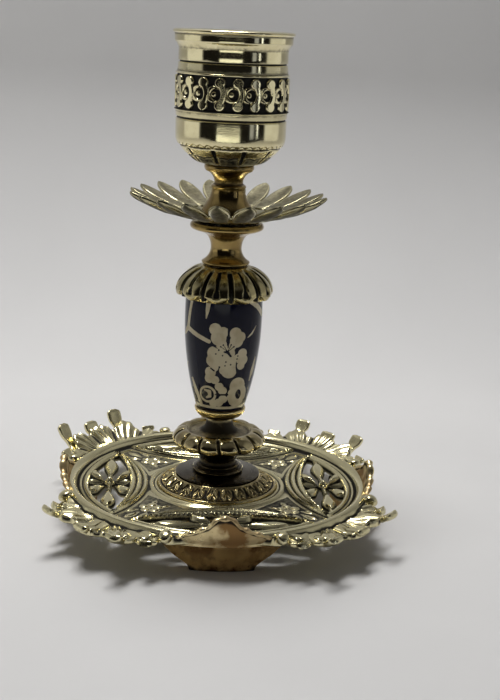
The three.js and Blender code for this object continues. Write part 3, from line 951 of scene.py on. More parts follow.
@dataclass
class PanSpool:
    """The turned spool that carries the pan."""

    finish: Brass
    top: float = field(init=False)
    bottom: float = field(init=False)

    def __post_init__(self) -> None:
        """Takes the spool's ends from the frame."""
        self.bottom, self.top = levels("pan_spool")

    def build(self) -> None:
        """Builds and dresses the spool."""
        line = Outline(BORE, self.bottom).line(6.3, self.bottom).curve(7.1, 76.7, 6.6, 77.1)
        line.line(6.2, 77.3).curve(4.5, 78.6, 4.35, 80.6).curve(4.35, 83, 5.6, 84.4)
        line.curve(6.6, 85.3, 9.2, 85.9).curve(10.5, 86.3, 10.35, 87.1).curve(10.2, 87.8, 9.6, self.top)
        piece = turned_piece("pan_support", line.line(BORE, self.top), 200, True, 0.3, step=0.6, worn=0.08)
        dress(piece, self.finish.material(), "dark_brass", "pan_spool")


@dataclass
class BarrelCap:
    """The lobed cap over the ceramic barrel."""

    finish: Brass
    lobes: int = 10
    centre_angle: float = 5.5
    recess_radius: float = 11.7

    def relief(self, angle: Array, radius: Array, height: Array) -> Array:
        """Lobes with a dark valley between them and a drop-shaped groove down each.

        Args:
            angle: round the cap.
            radius: of the turned surface.
            height: of the turned surface.

        Returns:
            Height over the turned surface.
        """
        around = folded(angle, self.lobes, math.radians(self.centre_angle))
        arc = around * radius
        outside = smooth(radius, 6.9, 9.0)
        half_pitch = math.pi / self.lobes * radius
        valley = smooth(np.abs(arc) - half_pitch, -0.75 - 0.02 * radius, -0.1)
        round_lobe = 0.45 * (1 - (arc / half_pitch) ** 2)
        drop_half = 0.5 + 0.45 * smooth(height, 71.5, 69.4)
        groove = smooth(np.abs(arc), drop_half + 0.15, drop_half - 0.25)
        groove = groove * smooth(height, 68.5, 69.2) * smooth(radius, 7.2, 8.4)
        hidden = smooth(height, 67.15, 67.35) * (radius > self.recess_radius - 4)
        return outside * hidden * (round_lobe - 1.15 * valley - 0.8 * groove - 0.35)

    def shade(self, angle: Array, radius: Array, height: Array) -> Array:
        """Black in the groove down each lobe and in the valleys.

        Args:
            angle: round the cap.
            radius: of the turned surface.
            height: of the turned surface.

        Returns:
            How much deeper the surface is stained.
        """
        arc = folded(angle, self.lobes, math.radians(self.centre_angle)) * radius
        drop_half = 0.42 + 0.5 * smooth(height, 71.2, 69.6)
        drop = smooth(np.abs(arc), drop_half, drop_half - 0.25) * smooth(height, 68.7, 69.2)
        valley = smooth(np.abs(arc) - math.pi / self.lobes * radius, -0.8, -0.35)
        return (0.45 * drop + 0.3 * valley) * (radius > 8)

    def lift(self, angle: Array, radius: Array, height: Array) -> Array:
        """Raises the lower edge between two lobes, so that each lobe ends in a point.

        Args:
            angle: round the cap.
            radius: of the turned surface.
            height: of the turned surface.

        Returns:
            How far each point is raised.
        """
        around = np.abs(folded(angle, self.lobes, math.radians(self.centre_angle)))
        share = around * self.lobes / math.pi
        return 1.9 * share ** 1.6 * smooth(height, 69.6, 67) * smooth(radius, 11.9, 12.8)

    def build(self) -> None:
        """Builds and dresses the cap."""
        low, top = levels("barrel_cap")
        ceiling = 69.6
        line = Outline(BORE, ceiling).line(self.recess_radius, ceiling).line(self.recess_radius, low + 0.6)
        line.line(12.1, low + 0.2).line(12.9, low + 0.35).curve(13.9, 67.6, 13.75, 69)
        line.curve(13.4, 71.9, 10.6, 73.9).curve(8.8, 75.2, 7.2, 75.5).line(6.6, top).line(BORE, top)
        piece = turned_piece("lobed_cap", line, 480, True, 0.42, step=0.7, worn=0.1, relief=self.relief,
                             lift=self.lift, fine=((66.5, 75.4, 0.22),), reach=5, shade=self.shade)
        dress(piece, self.finish.material(), "polished_brass", "barrel_cap")


@dataclass
class BarrelFerrule:
    """The gold-coloured cup under the barrel."""

    finish: Brass

    def build(self) -> None:
        """Builds and dresses the ferrule."""
        low, top = levels("barrel_ferrule")
        line = Outline(BORE, low).line(4.1, low).curve(5.9, 31.5, 6.5, 32.3).line(6.75, 32.5)
        line.curve(7.3, 33.1, 7.4, 33.9).curve(7.4, top, 7.1, top).line(6.7, top - 0.2)
        line.line(6.55, 33.3).line(BORE, 33.3)
        piece = turned_piece("barrel_cup", line, 160, True, 0.3, step=0.4, worn=0.07)
        dress(piece, self.finish.material(), "polished_brass", "barrel_ferrule")


@dataclass
class Knop:
    """The dished knop with fourteen rounded lobes."""

    finish: Brass
    lobes: int = 14
    valley_angle: float = 10.4

    def relief(self, angle: Array, radius: Array, height: Array) -> Array:
        """Rounded lobes with dark slanting grooves between them.

        Args:
            angle: round the knop.
            radius: of the turned surface.
            height: of the turned surface.

        Returns:
            Height over the turned surface.
        """
        twist = 0.014 * (height - 25)
        around = folded(angle + twist, self.lobes, math.radians(self.valley_angle) + math.pi / self.lobes)
        half_pitch = math.pi / self.lobes
        share = np.abs(around) / half_pitch
        outside = smooth(radius, 9.8, 11.2)
        groove = smooth((share - 1) * half_pitch * radius, -0.62, -0.12)
        dimple = np.exp(-((around * radius / 1.1) ** 2) - ((height - 25.6) / 0.9) ** 2)
        return outside * (0.42 * (1 - share ** 2) - 0.95 * groove - 0.22 - 0.16 * dimple)

    def shade(self, angle: Array, radius: Array, height: Array) -> Array:
        """Olive brown in the dish and darker round its middle."""
        dish = smooth(radius, 9.1, 8.4) * (height > 25)
        return dish * (0.11 + 0.1 * smooth(radius, 6.2, 4.6))

    def build(self) -> None:
        """Builds and dresses the knop."""
        low, top = levels("knop")
        line = Outline(BORE, low).line(10.2, low).curve(12.6, low + 0.1, 13.3, 24)
        line.curve(13.7, 25.3, 12.4, 26.4).curve(11.3, 27.4, 10, 27.5).line(9.4, 27.45)
        line.curve(9.1, 26.6, 8.2, 26.6).curve(5.4, 26.5, 4.3, 28.2).curve(3.75, 29.2, 3.7, top)
        piece = turned_piece("knop_ring", line.line(BORE, top), 560, True, 0.34, step=0.5, worn=0.08,
                             relief=self.relief, fine=((22.7, 27.9, 0.2),), reach=5, shade=self.shade)
        dress(piece, self.finish.material(), "polished_brass", "knop")


@dataclass
class Pedestal:
    """The dark turned pedestal under the knop."""

    finish: Brass

    def build(self) -> None:
        """Builds and dresses the pedestal."""
        low, top = levels("pedestal")
        line = Outline(BORE, low).line(12.1, low).line(12.3, low + 0.25).line(8, 14.75)
        line.line(6.6, 14.8).curve(7.5, 14.9, 7.4, 15.6).curve(7.3, 16.3, 6.4, 16.4)
        line.line(6.1, 16.45).curve(6.5, 16.9, 5.9, 17.2).line(5.3, 17.35).curve(4.8, 18.6, 6.3, 20.2)
        line.line(8.8, top - 0.1).line(8.6, top)
        piece = turned_piece("dark_pedestal", line.line(BORE, top), 200, True, 0.3, step=0.6, worn=0.08)
        dress(piece, self.finish.material(), "dark_brass", "pedestal")


@dataclass
class StemFoot:
    """The leaf ring on the tray, from which the stem rises."""

    finish: Brass
    leaves: int = 22

    def relief(self, angle: Array, radius: Array, height: Array) -> Array:
        """A ring of pointed leaves with veins, tips outwards.

        Args:
            angle: round the ring.
            radius: of the turned surface.
            height: of the turned surface.

        Returns:
            Height over the turned surface.
        """
        along = (radius - 12.6) / 3.9
        slope = (height > 10.9) & (radius > 12.55) & (radius < 16.7)
        around = folded(angle, self.leaves)
        arc = around * radius
        half = 1.75 * np.sqrt(np.clip(1 - np.abs(along - 0.4) ** 2 / 0.4, 0, 1)) + 0.05
        leaf = smooth(np.abs(arc) / half, 1.0, 0.75)
        veins = np.sin((np.abs(arc) * 1.2 - (along * 3.9) * 0.9) * 3.4)
        midrib = smooth(np.abs(arc), 0.3, 0.12)
        between = folded(angle, self.leaves, math.pi / self.leaves) * radius
        bud = smooth(np.hypot(between, (along - 0.88) * 3.9), 0.75, 0.35)
        level = leaf * (0.45 + 0.16 * veins - 0.2 * midrib) + 0.4 * bud * (1 - leaf)
        return np.where(slope, level * smooth(along, 0, 0.08) * smooth(along, 1.02, 0.94), 0.0)

    def build(self) -> None:
        """Builds and dresses the leaf ring."""
        low, top = levels("stem_foot")
        line = Outline(BORE, low).line(17.1, low).curve(17.5, 10.5, 17.1, 11).line(16.75, 11.15)
        line.line(16.5, 10.75).curve(14.6, 11.2, 12.6, top - 0.35).line(12.4, top).line(BORE, top)
        piece = turned_piece("leaf_ring", line, 720, True, 0.3, step=0.7, worn=0.07, relief=self.relief,
                             fine=((10.7, 13.6, 0.13),), reach=4)
        dress(piece, self.finish.material(), "dark_brass", "stem_foot")


# ---- Ceramic barrel ----------------------------------------------------------------------------

PIGMENT = "pigment"    # attribute: 0 on the dark glaze and 1 where it is painted cream


@dataclass(frozen=True)
class PaintedGlaze:
    """Glossy navy glaze with cream blossoms."""

    name: str = "painted_glaze"
    navy: Colour = (0.0045, 0.005, 0.016, 1)
    cream: Colour = (0.64, 0.57, 0.39, 1)
    stained: Colour = (0.4, 0.31, 0.17, 1)

    def material(self) -> bpy.types.Material:
        """Builds the material.

        Returns:
            Navy glaze where the pigment is 0 and matt, stained cream where it is 1.
        """
        material, tree, shader = new_material(self.name)
        place = node(tree, "TexCoord").outputs["Object"]
        pigment = node(tree, "Attribute", {"attribute_name": PIGMENT}).outputs["Fac"]
        wobble = maths(tree, "SUBTRACT", noise(tree, 1300.0, 3.0, place), 0.5)
        rough_edge = maths(tree, "MULTIPLY_ADD", wobble, 0.7, pigment)
        painted = stretched(tree, rough_edge, 0.4, 0.6)
        stain = stretched(tree, noise(tree, 260.0, 4.0, place), 0.42, 0.72)
        cream = mixed(tree, maths(tree, "MULTIPLY", stain, 0.55), self.cream, self.stained)
        tree.links.new(mixed(tree, painted, self.navy, cream), shader.inputs["Base Color"])
        tree.links.new(maths(tree, "MULTIPLY_ADD", painted, 0.16, 0.07), shader.inputs["Roughness"])
        shader.inputs["Specular IOR Level"].default_value = 0.18
        waves = maths(tree, "MULTIPLY", noise(tree, 180.0, 2.0, place), 0.3)
        height = maths(tree, "MULTIPLY_ADD", painted, 1.0, waves)
        uneven = node(tree, "Bump", Strength=0.12, Distance=0.0002, Height=height)
        tree.links.new(uneven.outputs["Normal"], shader.inputs["Normal"])
        return material


class Brush:
    """Paints soft-edged shapes on the unrolled barrel: x along the arc from a branch's middle, z up."""

    EDGE = 0.16

    def __init__(self, arc: Array, height: Array) -> None:
        """Starts a blank canvas over the given points."""
        self.arc, self.height = arc, height
        self.paint = np.zeros(np.broadcast(arc, height).shape)

    def lay(self, away: Array, cream: bool) -> None:
        """Lays cream, or wipes it off, where the signed distance is below zero."""
        mask = smooth(away, self.EDGE, -self.EDGE)
        self.paint = np.maximum(self.paint, mask) if cream else np.minimum(self.paint, 1 - mask)

    def dab(self, x: float, z: float, wide: float, tall: Optional[float] = None, cream: bool = True) -> None:
        """A round or oval dab.

        Args:
            x: its middle along the arc.
            z: its middle's height.
            wide: its half width.
            tall: its half height, if it isn't round.
            cream: whether it adds cream or wipes it off.
        """
        tall = tall or wide
        share = np.hypot((self.arc - x) / wide, (self.height - z) / tall)
        self.lay((share - 1) * min(wide, tall), cream)

    def stroke(self, points: Sequence[tuple[float, float, float]], cream: bool = True) -> None:
        """A tapering stroke.

        Args:
            points: (x, z, half width) along it.
            cream: whether it adds cream or wipes it off.
        """
        for (x0, z0, w0), (x1, z1, w1) in zip(points, points[1:]):
            dx, dz = x1 - x0, z1 - z0
            share = ((self.arc - x0) * dx + (self.height - z0) * dz) / (dx * dx + dz * dz)
            share = np.clip(share, 0, 1)
            away = np.hypot(self.arc - x0 - share * dx, self.height - z0 - share * dz)
            self.lay(away - (w0 + share * (w1 - w0)), cream)


@dataclass
class CeramicBarrel:
    """The glazed barrel with a blossom branch on its front and again on its back."""

    finish: PaintedGlaze
    front: float = math.radians(-92.3)
    repeats: int = 2

    def picture(self, angle: Array, radius: Array, height: Array) -> Array:
        """Paints the blossom branch.

        Args:
            angle: round the barrel.
            radius: of the barrel there.
            height: over the ground.

        Returns:
            How much cream lies at each point, 0 to 1.
        """
        around = folded(angle, self.repeats, self.front)
        brush = Brush(around * radius, height)
        self.branches(brush)
        self.large_blossom(brush)
        self.small_flowers(brush)
        return brush.paint

    def branches(self, brush: Brush) -> None:
        """The branch, the twigs and the leaf.

        Args:
            brush: what paints them.
        """
        brush.stroke([(-10.2, 68.2, 0.55), (-11.5, 63, 0.6), (-12.2, 58.6, 0.75),
                      (-8.6, 57.4, 0.65), (-4, 55.9, 0.55)])
        brush.stroke([(-12.2, 58.6, 0.8), (-14.5, 56.5, 0.6)])
        brush.stroke([(-4.4, 68, 0.75), (-4.8, 64.6, 0.55), (-5.1, 62.4, 0.15)])
        brush.stroke([(7.3, 67.3, 0.3), (11, 65.6, 0.75), (14.5, 62.8, 0.9)])
        brush.stroke([(7.4, 57, 0.12), (9, 58, 0.32), (10.8, 60, 0.1)])
        brush.stroke([(9.4, 43.6, 0.2), (10.6, 46.6, 0.9), (11.6, 50.6, 0.12)])
        brush.stroke([(-13, 48, 0.2), (-14.2, 46.5, 0.5), (-14.8, 43, 0.15)])

    def large_blossom(self, brush: Brush) -> None:
        """The big blossom, its stamens and its dark centre.

        Args:
            brush: what paints them.
        """
        petals = (
            ((-2.3, 59.6, 1.75), (0, 58.9, 1.5), (-1.3, 57.2, 2.2), (-0.4, 55.4, 1.5)),
            ((3.5, 58.5, 1.75), (5.1, 57.4, 1.5), (3.9, 56.4, 2.0), (2.8, 55, 1.2)),
            ((5.9, 52.5, 1.5), (6.1, 50.6, 1.65), (5.5, 48.9, 1.25), (4.6, 51.2, 1.4)),
            ((1.7, 49.6, 2.4), (2.0, 47.5, 2.25), (0.6, 47.7, 1.4)),
            ((-2.3, 52.6, 2.1), (-2.8, 50.4, 1.85), (-1, 50.8, 2.0)),
            ((-3.3, 46.9, 1.6), (-3.5, 45, 1.45), (-1.9, 44.6, 1.25), (-2.2, 48.4, 1.2)),
            ((1.2, 52.8, 2.3),),
        )
        for petal in petals:
            for x, z, size in petal:
                brush.dab(x, z, size)
        dark_lines = (
            ((1.45, 61, 0.3), (1.5, 57, 0.3), (1.45, 54.4, 0.16)),
            ((4.4, 54.3, 0.12), (5.6, 54.2, 0.22), (7.4, 54.3, 0.3)),
            ((-4.4, 55, 0.3), (-2.6, 54.7, 0.16), (-1, 53.9, 0.06)),
            ((4.0, 50.2, 0.08), (4.1, 48.6, 0.22), (4.5, 46.6, 0.34)),
            ((-3.2, 48.1, 0.2), (-2.2, 47.4, 0.24)),
            ((0.4, 53.2, 0.2), (1.5, 53.0, 0.42), (2.3, 51.9, 0.3)),
        )
        for line in dark_lines:
            brush.stroke(line, cream=False)
        for x, z in ((-0.6, 54.7), (0.1, 55.2), (2.3, 55.3), (3.1, 54.7)):
            brush.stroke(((1.4, 53.3, 0.1), (x, z, 0.1)), cream=False)
            brush.dab(x, z, 0.24, cream=False)
        for x, z in ((-1.1, 53.6), (-1.9, 52.5), (0, 52.1), (4.4, 51.9),
                     (4.2, 51), (1, 50.2), (0.8, 49.1), (2.4, 49.4)):
            brush.dab(x, z, 0.24, cream=False)

    def small_flowers(self, brush: Brush) -> None:
        """The two small flowers near the foot, and the cream line round it.

        Args:
            brush: what paints them.
        """
        for x, z, wide, tall in ((4.9, 42.6, 2.5, 2.7), (3.7, 39.6, 1.9, 2.9),
                                 (6.6, 40, 1.7, 2.6), (4.8, 37.7, 2.4, 1.6)):
            brush.dab(x, z, wide, tall)
        brush.dab(5.2, 40, 0.95, 1.55, cream=False)
        brush.dab(-4, 39.9, 2.7)
        brush.dab(-4, 39.9, 2.0, cream=False)
        brush.stroke([(-4.9, 41.2, 0.3), (-3.4, 40.8, 0.55), (-3.2, 39.4, 0.5), (-4.2, 38.8, 0.3)])
        for x, z in ((0.4, 41.4), (-0.6, 42.6), (0.6, 38.7), (-0.5, 37.6), (-2, 37.2)):
            brush.dab(x, z, 1.25)
        brush.stroke([(-1.6, 40.1, 0.2), (1.8, 40.1, 0.32)], cream=False)
        brush.stroke([(-10, 43.5, 0.5), (-7.8, 39.5, 0.75), (-6.2, 36.5, 0.6)])
        brush.lay(np.abs(brush.height - 35.85) - 0.42, True)

    def build(self) -> None:
        """Builds and dresses the barrel."""
        low, top = levels("ceramic_barrel")
        line = Outline(3.4, low).line(7, low).curve(8.9, 40.8, 9.6, 45.2).curve(10.5, 50.4, 10.85, 55.2)
        line.curve(11.1, 60, 10.95, 66).line(10.8, top).line(3.4, top)
        points, depth = turn(line, 432, step=1.5, worn=0.1, fine=((low + 0.3, 67.6, 0.16),))
        skin = Skin()
        skin.grid(points, depth, True)
        piece = skin.build("painted_barrel")
        flat = points.reshape(-1, 3)
        cream = self.picture(np.arctan2(flat[:, 1], flat[:, 0]), np.hypot(flat[:, 0], flat[:, 1]), flat[:, 2])
        layer = piece.data.attributes.new(PIGMENT, "FLOAT", "POINT")
        layer.data.foreach_set("value", cream.astype(np.float32))
        dress(piece, self.finish.material(), "glazed_barrel", "ceramic_barrel")


# ---- Tray --------------------------------------------------------------------------------------

def oval(x: Array, y: Array, wide: float, tall: float) -> Array:
    """Signed distance, roughly, to an oval about the origin; below zero inside it."""
    return (np.hypot(x / wide, y / tall) - 1) * min(wide, tall)


def swung(x: Array, y: Array, degrees: float) -> tuple[Array, Array]:
    """Measures places along and across a direction.

    Args:
        x: first coordinate.
        y: second coordinate.
        degrees: the direction, from the first axis.

    Returns:
        The distances along it and across it.
    """
    a = math.radians(degrees)
    return x * math.cos(a) + y * math.sin(a), y * math.cos(a) - x * math.sin(a)


def leaf_edge(along: Array, across: Array, length: float, width: float, fullness: float = 1.25) -> Array:
    """Signed distance, roughly, to a pointed leaf.

    Args:
        along: distance from its root towards its tip.
        across: distance from its midrib.
        length: of the leaf.
        width: its half width.
        fullness: the higher, the nearer its tip the leaf is widest.

    Returns:
        Millimetres, below zero inside the leaf.
    """
    share = np.clip(along / length, 0, 1)
    half = width * np.sin(math.pi * share ** fullness) ** 0.85
    return np.maximum(np.abs(across) - half, np.maximum(-along, along - length))


@dataclass(frozen=True)
class Tip:
    """A curled tip of a palmette, and how much it shares in its palmette's own rise and turn."""

    reach: float
    lift: float
    width: float
    rises: float = 1.0
    turns: float = 1.0


SIDE_TIP = Tip(55.8, 13.6, 2.5)
MIDDLE_TIP = Tip(53.9, 12.2, 2.7)
LOW_TIP = Tip(50.6, 11.2, 2.2, rises=0.3, turns=0.0)


@dataclass
class Tray:
    """The round tray: raised ridge, four pierced almond panels, blossoms between them, and four palmettes.

    The values given four times are for the palmettes at the back right, back left, front left and
    front right: how far each is raised in mm, how far its long tips are turned in degrees, and how
    far its two side tips spread in degrees.
    """

    finish: Brass
    lip_finish: Brass
    floor: float = 9.8
    underside: float = 8.4
    ridge_radius: float = 42.8
    ridge_top: float = 12.4
    edge_radius: float = 44.6
    panel_near: float = 20.2
    panel_end: float = 26.0
    panel_far: float = 40.4
    window_near: float = 25.6
    window_far: float = 37.4
    window_end: float = 23.0
    rosette_radius: float = 31.5
    boss_radius: float = 1.7
    inner_radius: float = 16.0
    outer_radius: float = 54.0
    raised: tuple[float, ...] = (2.0, 4.6, 0.0, 0.0)
    turned: tuple[float, ...] = (0.0, 2.0, 0.0, 0.0)
    spread: tuple[float, ...] = (11.5, 11.5, 13.5, 13.5)
    low_spread: float = 20.5
    bud_spread: float = 25.5
    columns: int = 960
    row_step: float = 0.3
    # The rosette's leaves: direction in degrees, length and half width.
    rosette: tuple[tuple[float, float, float], ...] = (
        (0, 6.2, 1.25), (54, 9.8, 1.95), (90, 18.0, 2.2), (126, 9.8, 1.95),
        (180, 6.2, 1.25), (234, 9.8, 1.95), (270, 18.0, 2.2), (306, 9.8, 1.95))
    # Half a quarter of the tray's edge: degrees from a palmette's middle, and radius.
    outline_half: tuple[tuple[float, float], ...] = (
        (0, 53.2), (3.4, 53.0), (5.6, 50.6), (7.4, 50.6), (10.2, 52.8), (13.2, 52.2),
        (15.4, 48.2), (17.4, 48.6), (20.4, 48.2), (22.4, 45.4), (24.2, 45.2), (26.6, 46.0),
        (28.8, 44.9), (30.0, 44.6), (31.5, 43.6), (45.0, 43.4))

    def bow(self, near: float, far: float, half_length: float) -> tuple[float, float]:
        """The arc nearest the stem of an almond.

        Args:
            near: its nearest radius.
            far: the radius of the almond's outer arc.
            half_length: from the almond's middle to its points.

        Returns:
            The distance of the arc's centre from the stem, and the arc's radius.
        """
        end = math.sqrt(far ** 2 - half_length ** 2)
        radius = ((end - near) ** 2 + half_length ** 2) / (2 * (end - near))
        return near + radius, radius

    def outline(self, degrees: Array) -> Array:
        """The tray's edge.

        Args:
            degrees: from the nearest palmette's middle.

        Returns:
            The edge's radius there.
        """
        angles, radii = zip(*self.outline_half)
        even = np.linspace(0, 45, 361)
        plain = np.interp(even, angles, radii)
        rounded = blurred(plain, 6, 0, False)
        return np.interp(np.abs(degrees), even, rounded)

    def leaves(self, p: Array, q: Array) -> list[Array]:
        """The rosette's eight leaves, and the two stems inside the long ones.

        Args:
            p: outwards from the window's middle.
            q: sideways from the window's middle.

        Returns:
            Signed distances to each of them, below zero inside.
        """
        found = []
        start = 0.9
        for degrees, length, width in self.rosette:
            along, across = swung(p, q, degrees)
            found.append(leaf_edge(along - start, across, length, width, 2.2 if length > 9 else 1.7))
            if degrees in (90, 270):
                found.append(np.maximum(np.abs(across) - 0.75, np.maximum(start - along, along - 24)))
        return found

    def fields(self, x: Array, y: Array) -> dict[str, Array]:
        """The folded coordinates and distances from which the relief is drawn.

        Args:
            x: first coordinate.
            y: second coordinate.

        Returns:
            Arrays by name.
        """
        radius, angle = np.hypot(x, y), np.arctan2(y, x)
        side = folded(angle, 4)
        corner = folded(angle, 4, math.pi / 4)
        p, q = radius * np.cos(side), radius * np.sin(side)
        centre, bow = self.bow(self.panel_near, self.panel_far, self.panel_end)
        panel = np.maximum(np.hypot(p - centre, q) - bow, radius - self.panel_far)
        centre, window_bow = self.bow(self.window_near, self.window_far, self.window_end)
        near = np.hypot(p - centre, q) - window_bow
        window = np.maximum(near, radius - self.window_far)
        leaves = self.leaves(p - self.rosette_radius, q)
        boss = np.hypot(p - self.rosette_radius, q) - self.boss_radius
        filled = np.minimum.reduce(leaves + [boss])
        hole = np.maximum(window, -filled)
        rim = radius - self.outline(np.degrees(corner))
        nearest = np.floor(angle / (math.pi / 2)).astype(int) % 4
        tilt = 0.72 * np.array(self.raised)[nearest] * smooth(radius, self.edge_radius, 53.0)
        return {"radius": radius, "corner": corner, "tilt": tilt, "q": q, "panel": panel,
                "window": window, "near": near, "filled": filled, "boss": boss,
                "metal": np.maximum(rim, -hole)}

    def spandrel(self, f: dict[str, Array]) -> Array:
        """The blossom and leaves between two panels.

        Args:
            f: the fields.

        Returns:
            Height over the tray's floor; the stippled ground is below it, and 0 outside the ground.
        """
        along, across = f["radius"] * np.cos(f["corner"]), f["radius"] * np.sin(f["corner"])
        ground = np.minimum(f["panel"] - 1.0, np.minimum(along - 20.6, 38.6 - f["radius"]))
        shapes = []
        for k in range(5):
            a = TURN / 5 * k
            cx, cy = 27.2 + 2.15 * math.cos(a), 2.15 * math.sin(a)
            shapes.append(oval(along - cx, across - cy, 1.45, 1.45))
        for sign in (1, -1):
            outward = swung(along - 30.2, across - 1.4 * sign, 28 * sign)
            shapes.append(leaf_edge(*outward, 5.6, 1.15))
            inward = swung(along - 25.4, across - 1.3 * sign, 154 * sign)
            shapes.append(leaf_edge(*inward, 3.4, 0.8))
            shapes.append(oval(along - 35.2, across - 5.2 * sign, 1.2, 0.9))
            shapes.append(oval(along - 33.6, across - 7.6 * sign, 0.9, 0.7))
        shapes.append(leaf_edge(along - 31.6, across, 6.0, 1.2))
        nearest = np.minimum.reduce(shapes)
        dome = 1.15 * np.sqrt(np.clip(-nearest / 0.8, 0, 1))
        level = dome + 0.35 * smooth(np.hypot(along - 27.2, across), 1.0, 0.5)
        grain = 0.13 * np.sin(along * 5.2) * np.sin(across * 5.2)
        inside = smooth(ground, 0.0, 0.45)
        return inside * (level - 0.75 + grain * (nearest > 0))

    def palmette(self, f: dict[str, Array]) -> Array:
        """The veined leaf outside the ridge: leaflets that spread from the palmette's root.

        Args:
            f: the fields.

        Returns:
            Height over the tray's edge; 0 inside the ridge.
        """
        along, across = f["radius"] * np.cos(f["corner"]) - 38.5, f["radius"] * np.sin(f["corner"])
        spread = np.degrees(np.arctan2(across, along))
        reach = np.hypot(along, across)
        leaflet = np.abs(np.cos(np.radians(spread) * 4.5))
        vein = 0.22 * np.sin(np.radians(spread) * 36) * smooth(reach, 4, 8)
        outside = smooth(f["radius"], 44.2, 45.2)
        curl = 0.8 * smooth(reach, 9.5, 14)
        return outside * (1.3 * leaflet ** 0.6 - 0.95 + vein + curl)

    def top(self, f: dict[str, Array]) -> Array:
        """The tray's upper face.

        Args:
            f: the fields.

        Returns:
            Its height over the ground.
        """
        radius = f["radius"]
        height = np.full_like(radius, self.floor)
        rings = 0.8 * bump(radius, 19.3, 1.3) + 0.6 * bump(radius, 17.9, 0.9)
        height += rings + 0.12 * smooth(radius, 19.8, 21.5)
        inside = smooth(f["panel"], 0.25, -0.35)
        share = -f["panel"] / np.maximum(f["window"].clip(0) - f["panel"], 0.05)
        ridges = bump(share, 0.13, 0.24) * 0.75 + bump(share, 0.47, 0.26)
        ridges += bump(share, 0.82, 0.26) * 0.85
        near_side = smooth(radius, 39.0, 37.0)
        outer_band = 0.75 * bump(radius, 38.4, 1.3) + 0.5 * bump(radius, 40.0, 1.0)
        height += inside * (0.35 + np.where(f["near"] > -0.4, ridges, outer_band) * (f["window"] > -0.5))
        beads = 0.3 * bump(f["window"], 0.55, 0.9) * (0.5 + 0.5 * np.cos(f["q"] * TURN / 1.25)) * near_side
        height += np.where(f["near"] > -0.4, beads, 0.0)
        dome = np.sqrt(np.clip(-f["filled"] / 1.3, 0, 1))
        boss = np.sqrt(np.clip(-f["boss"] / self.boss_radius, 0, 1))
        petals = self.underside + 0.7 + 1.9 * dome + boss * 0.8
        height = np.where(f["window"] < 0, np.maximum(petals, self.underside + 0.6), height)
        height += self.spandrel(f)
        ridge = bump(radius, self.ridge_radius, 3.9)
        height = np.maximum(height, self.floor + 0.2 + (self.ridge_top - self.floor - 0.2) * ridge)
        flank = smooth(radius, 43.4, 45.4)
        height = height * (1 - flank) + flank * 10.7
        height += self.palmette(f) + f["tilt"]
        edge = np.clip(-f["metal"] / 0.55, 0, 1)
        return height - 0.5 * (1 - np.sqrt(edge * (2 - edge)))

    def bottom(self, f: dict[str, Array]) -> Array:
        """The tray's underside, dished under the palmettes.

        Args:
            f: the fields.

        Returns:
            Its height over the ground.
        """
        height = self.underside + 0.7 * smooth(f["radius"], 40.6, 45) + 0.5 * smooth(f["radius"], 48, 53)
        height += f["tilt"]
        edge = np.clip(-f["metal"] / 0.5, 0, 1)
        return height + 0.35 * (1 - np.sqrt(edge * (2 - edge)))

    def plate(self, skin: Skin) -> None:
        """Adds the tray's plate: an upper and a lower sheet joined along the rim and round every hole.

        Args:
            skin: what the plate is added to.
        """
        radii = np.arange(self.inner_radius, self.outer_radius, self.row_step)
        angles = np.linspace(0, TURN, self.columns, endpoint=False)
        x, y = radii[:, None] * np.cos(angles)[None, :], radii[:, None] * np.sin(angles)[None, :]
        metal = self.fields(x, y)["metal"]
        cells = np.stack([metal[:-1], np.roll(metal, -1, 1)[:-1], np.roll(metal, -1, 1)[1:], metal[1:]])
        kept = (cells < 0).sum(0) >= 3
        kept &= cells.mean(0) < 0.05
        kept = self.without_corner_joins(kept)
        used, border = self.used_points(kept, metal.shape)
        x, y = self.snapped(x, y, border)
        f = self.fields(x, y)
        top, bottom = self.top(f), self.bottom(f)
        top = np.maximum(top, bottom + 0.35)
        around = blurred(blurred(top, 3, 1, True), 3, 0, False)
        depth = np.clip(around - top, -0.3, 0.5)
        ground_stain = 0.19 * smooth(self.spandrel(f), -0.3, -0.6)
        depth += ground_stain + 0.1 * (f["window"] < 0) * smooth(-f["filled"], 0.9, 0.1)
        self.stitch(skin, kept, used, np.stack([x, y], -1), top, bottom, depth)

    @staticmethod
    def without_corner_joins(kept: Array) -> Array:
        """Drops cells until no two kept cells meet only at a corner.

        Args:
            kept: cells that are metal.

        Returns:
            The cells that are left.
        """
        kept = kept.copy()
        for _ in range(6):
            right = np.roll(kept, -1, 1)
            crossed = kept[:-1] & right[1:] & ~right[:-1] & ~kept[1:]
            other = ~kept[:-1] & ~right[1:] & right[:-1] & kept[1:]
            if not (crossed.any() or other.any()):
                break
            kept[:-1] &= ~crossed
            kept[1:] &= ~other
        return kept

    @staticmethod
    def used_points(kept: Array, shape: tuple[int, int]) -> tuple[Array, Array]:
        """Which grid points the kept cells use, and which of those lie on a border.

        Args:
            kept: cells that are metal.
            shape: the grid's rows and columns.

        Returns:
            Two masks over the grid's points.
        """
        touching = np.zeros(shape, int)
        for rows in (slice(0, -1), slice(1, None)):
            for shift in (0, 1):
                touching[rows] += np.roll(kept, shift, 1)
        border = (touching > 0) & (touching < 4)
        border[0] = False
        return touching > 0, border

